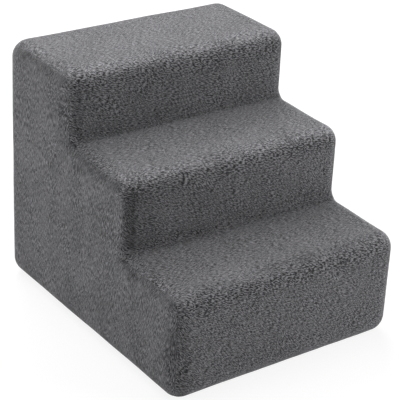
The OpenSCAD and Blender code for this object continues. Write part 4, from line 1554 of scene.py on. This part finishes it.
# %% Node group for plain weave
weave, given, made = new_group("Plain weave", [
    ("Cloth", "NodeSocketVector", None), ("Thread", "NodeSocketFloat", 0.5 * MM),
], [("Height", "NodeSocketFloat"), ("Tone", "NodeSocketFloat")])
uneven = swirled(weave, given["Cloth"], 6 * MM, 0.5 * MM, 2.0)
threads = add_node(weave, "ShaderNodeSeparateXYZ", {
    "Vector": vector_math(weave, "DIVIDE", uneven, given["Thread"])
}).outputs
profiles, counts = [], []
for direction in ("X", "Y"):
    halfway = number_math(weave, "PINGPONG", threads[direction], 0.5)
    profiles.append(number_math(weave, "SINE", number_math(weave, "MULTIPLY", halfway, math.pi)))
    counts.append(number_math(weave, "FLOOR", threads[direction]))
over = number_math(weave, "FLOORED_MODULO", number_math(weave, "ADD", *counts), 2.0)
heights = []
for own, other in (profiles, profiles[::-1]):
    # A thread is half as high where it dives under the other
    arch = add_node(weave, "ShaderNodeMath", {0: other, 1: 0.5, 2: 0.5},
                    operation="MULTIPLY_ADD").outputs[0]
    heights.append(number_math(weave, "MULTIPLY", own, arch))
woven = mixed(weave, over, *heights)
weave.links.new(woven, made["Height"])
slubs = spread_noise(weave, in_cells(weave, given["Cloth"], 1.5 * MM, 9 * MM), 2.0)["Fac"]
weave.links.new(number_math(weave, "MULTIPLY", woven, mixed(weave, slubs, 0.6, 1.4)),
                made["Tone"])
print("group:", weave.name)


# %% Woven finishes
def woven_material(name, dark, pale, thread, strength, sheen):
    """Woven cloth: two colours, the width of a thread and how deep it looks."""
    material, tree, shader = start_material(name, pale, {
        "Roughness": 0.85, "Specular IOR Level": 0.3, "Sheen Weight": sheen, "Sheen Roughness": 0.4
    })
    cloth = cloth_place(tree)
    cross = add_node(tree, "ShaderNodeGroup", {"Cloth": cloth, "Thread": thread},
                     node_tree=weave).outputs
    soil = spread_noise(tree, in_cells(tree, cloth, 30 * MM, 30 * MM, 0, 3.0), 3.0)["Fac"]
    tone = number_math(tree, "MULTIPLY", cross["Tone"], mixed(tree, soil, 0.7, 1.3), True)
    tree.links.new(mixed_colour(tree, tone, dark, pale), shader.inputs["Base Color"])
    add_bump(tree, shader, cross["Height"], thread / 2, strength)
    return material


TAPE_THREAD, BASE_THREAD = 0.45 * MM, 1.0 * MM
tape_cloth = woven_material("Zip tape weave", grey(0.030, -0.01), grey(0.085, -0.01),
                            TAPE_THREAD, 0.6, 0.15)
patch_cloth = woven_material("End patch weave", grey(0.034, -0.01), grey(0.095, -0.01),
                             TAPE_THREAD, 0.7, 0.15)
base_weave = woven_material("Base cloth weave", grey(0.022), grey(0.060), BASE_THREAD, 0.8, 0.1)
print("woven:", tape_cloth.name, patch_cloth.name, base_weave.name)


# %% Foam
foam_cells, given, made = new_group("Foam cells", [
    ("Place", "NodeSocketVector", None), ("Cell", "NodeSocketFloat", 1 * MM),
], [("Height", "NodeSocketFloat"), ("Mottle", "NodeSocketFloat")])
cells = add_node(foam_cells, "ShaderNodeTexVoronoi", {
    "Vector": vector_math(foam_cells, "DIVIDE", given["Place"], given["Cell"]), "Scale": 1.0
}).outputs
foam_cells.links.new(number_math(foam_cells, "SUBTRACT", 1.0, cells["Distance"]), made["Height"])
cloudy = spread_noise(foam_cells, in_cells(foam_cells, given["Place"], 40 * MM, 40 * MM), 3.0,
                      flat=False)["Fac"]
foam_cells.links.new(cloudy, made["Mottle"])


def piece_place(tree):
    """Each point's place on the piece itself."""
    return add_node(tree, "ShaderNodeTexCoord").outputs["Object"]


def foam_material(name, deep, skin, cell):
    """Cut foam: the colour deep in its cells and on their rims, and the size of a cell."""
    material, tree, shader = start_material(name, skin,
                                            {"Roughness": 0.9, "Specular IOR Level": 0.25})
    froth = add_node(tree, "ShaderNodeGroup", {"Place": piece_place(tree), "Cell": cell},
                     node_tree=foam_cells).outputs
    share = number_math(tree, "MULTIPLY", froth["Height"],
                        mixed(tree, froth["Mottle"], 0.75, 1.35), True)
    tree.links.new(mixed_colour(tree, share, deep, skin), shader.inputs["Base Color"])
    add_bump(tree, shader, froth["Height"], cell / 2, 0.7)
    return material


firm_foam = foam_material("Firm foam", (0.30, 0.285, 0.25, 1), (0.62, 0.60, 0.53, 1), 1.1 * MM)
soft_foam = foam_material("Soft foam", (0.44, 0.46, 0.46, 1), (0.80, 0.82, 0.81, 1), 0.8 * MM)
print("foam:", firm_foam.name, soft_foam.name)


# %% Nylon, thread and rubber
def grained_material(name, dark, pale, grain, depth, strength, roughness):
    """A moulded or spun finish with a fine grain, on the piece's own place."""
    material, tree, shader = start_material(name, pale)
    place = piece_place(tree)
    fine = spread_noise(tree, in_cells(tree, place, grain, grain), 2.0, flat=False)["Fac"]
    broad = spread_noise(tree, in_cells(tree, place, 60 * grain, 60 * grain, 0, 1.0), 3.0,
                         flat=False)["Fac"]
    share = spread_out(tree, mixed(tree, 0.6, fine, broad), 0.35, 0.65)
    tree.links.new(mixed_colour(tree, share, dark, pale), shader.inputs["Base Color"])
    tree.links.new(mixed(tree, broad, roughness - 0.1, roughness + 0.1),
                   shader.inputs["Roughness"])
    add_bump(tree, shader, fine, depth, strength)
    return material


nylon = grained_material("Coil nylon", grey(0.030), grey(0.055), 0.3 * MM, 0.04 * MM, 0.3, 0.35)
thread = grained_material("Sewing thread", grey(0.045), grey(0.110), 0.16 * MM, 0.08 * MM, 0.8,
                          0.7)
rubber = grained_material("Dot rubber", grey(0.018), grey(0.034), 0.5 * MM, 0.06 * MM, 0.4, 0.55)
print("grained:", nylon.name, thread.name, rubber.name)

# %% Plated metal
handled, given, made = new_group("Handled plating", [
    ("Place", "NodeSocketVector", None),
], [("Rubbed", "NodeSocketFloat"), ("Scratches", "NodeSocketFloat")])
patchy = spread_noise(handled, in_cells(handled, given["Place"], 4 * MM, 4 * MM), 3.0, 0.6,
                      flat=False)["Fac"]
handled.links.new(spread_out(handled, patchy, 0.42, 0.66), made["Rubbed"])
lines = spread_noise(handled, in_cells(handled, given["Place"], 0.12 * MM, 3 * MM, 35), 2.0,
                     flat=False)["Fac"]
handled.links.new(spread_out(handled, lines, 0.35, 0.7), made["Scratches"])


def plated_material(name, plating, rubbed):
    """Plated metal: its own colour, and its colour where handling has polished it."""
    material, tree, shader = start_material(name, plating, {"Metallic": 1.0})
    wear = add_node(tree, "ShaderNodeGroup", {"Place": piece_place(tree)},
                    node_tree=handled).outputs
    tree.links.new(mixed_colour(tree, wear["Rubbed"], plating, rubbed),
                   shader.inputs["Base Color"])
    tree.links.new(mixed(tree, wear["Scratches"], 0.44, 0.28), shader.inputs["Roughness"])
    add_bump(tree, shader, wear["Scratches"], 0.02 * MM, 0.25)
    return material


gunmetal = plated_material("Plated zinc", (0.20, 0.20, 0.21, 1), (0.36, 0.36, 0.37, 1))
clip_metal = plated_material("Stop metal", (0.26, 0.26, 0.27, 1), (0.42, 0.42, 0.43, 1))
print("plated:", gunmetal.name, clip_metal.name)


# %% [markdown]
# ## Finishing and placing the pieces
# Each piece now gets its finish and is tied to a body that it rides on, and the solid of the
# imported model that it stands for is hidden. The slider and its pull ride on bodies of their
# own, because they move. Everything else stays with the stairs.

# %% Finish, body and solid of each piece
def dress(piece, material, body="stairs", node=None):
    """Finishes a piece, ties it to its body, and hides the solid that it stands for, if one is given.
    """
    piece.data.materials.append(material)
    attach(piece, body)
    if node:
        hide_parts(node)


for node, piece in foam.items():
    firm = "slab" in node
    dress(piece, firm_foam if firm else soft_foam, node=node)
for node, piece in cover.items():
    dress(piece, plush[node], node=node)
dress(base_cloth, base_weave, node="base_panel")
dress(grip_dots, rubber)
for word in ("outer", "inner"):
    dress(tapes[word], tape_cloth, node="zip_tape_" + word)
    dress(coils[word], nylon, node="zip_coil_" + word)
dress(end_tabs, patch_cloth, node="zip_end_tabs")
dress(zip_stitches, thread)
dress(tab_stitches, thread)
dress(stops, clip_metal, node="zip_stops")
dress(slider, gunmetal, body="zip_slider", node="zip_slider")
dress(pull, gunmetal, body="zip_pull", node="zip_pull_tab")


# %% What each soft piece was cut from
STRIP_FILL = 0.9     # how much of the strip that it develops to a U-shaped cut fills


def cut_size(piece):
    """Width, length and area of the flat cloth, from its UV map in metres."""
    uv = np.empty(2 * len(piece.data.loops))
    piece.data.uv_layers["Cloth"].data.foreach_get("uv", uv)
    corners = uv.reshape(-1, 4, 2)
    diagonals = corners[:, 2] - corners[:, 0], corners[:, 3] - corners[:, 1]
    area = abs(diagonals[0][:, 0] * diagonals[1][:, 1] - diagonals[0][:, 1] * diagonals[1][:, 0])
    width, length = corners.max(axis=(0, 1)) - corners.min(axis=(0, 1))
    return float(width), float(length), float(area.sum() / 2)


def declare_cloth(piece, strip_width=None):
    """Prints the size of a sheet's cut. A U-shaped cut is given as the strip that it develops to."""
    width, length, area = cut_size(piece)
    if strip_width:
        width, length = strip_width, area / (STRIP_FILL * strip_width)
    min(area, width * length)
    print(piece.name, "cut", round(width * 1000), "x", round(length * 1000), "mm,",
          round(area * 1e4), "square cm")


slabs = [piece for node, piece in foam.items() if "slab" in node]
for step in STEPS:
    declare_cloth(cover["cover_step_" + step])
for word in ("left", "right"):
    declare_cloth(cover["cover_side_" + word])
declare_cloth(cover["cover_back_surround"],
              strip_width=HOLE_Z - back_foot_z + foot_length)
declare_cloth(cover["cover_back_flap"])
declare_cloth(base_cloth)
declare_cloth(tapes["outer"])
declare_cloth(tapes["inner"])
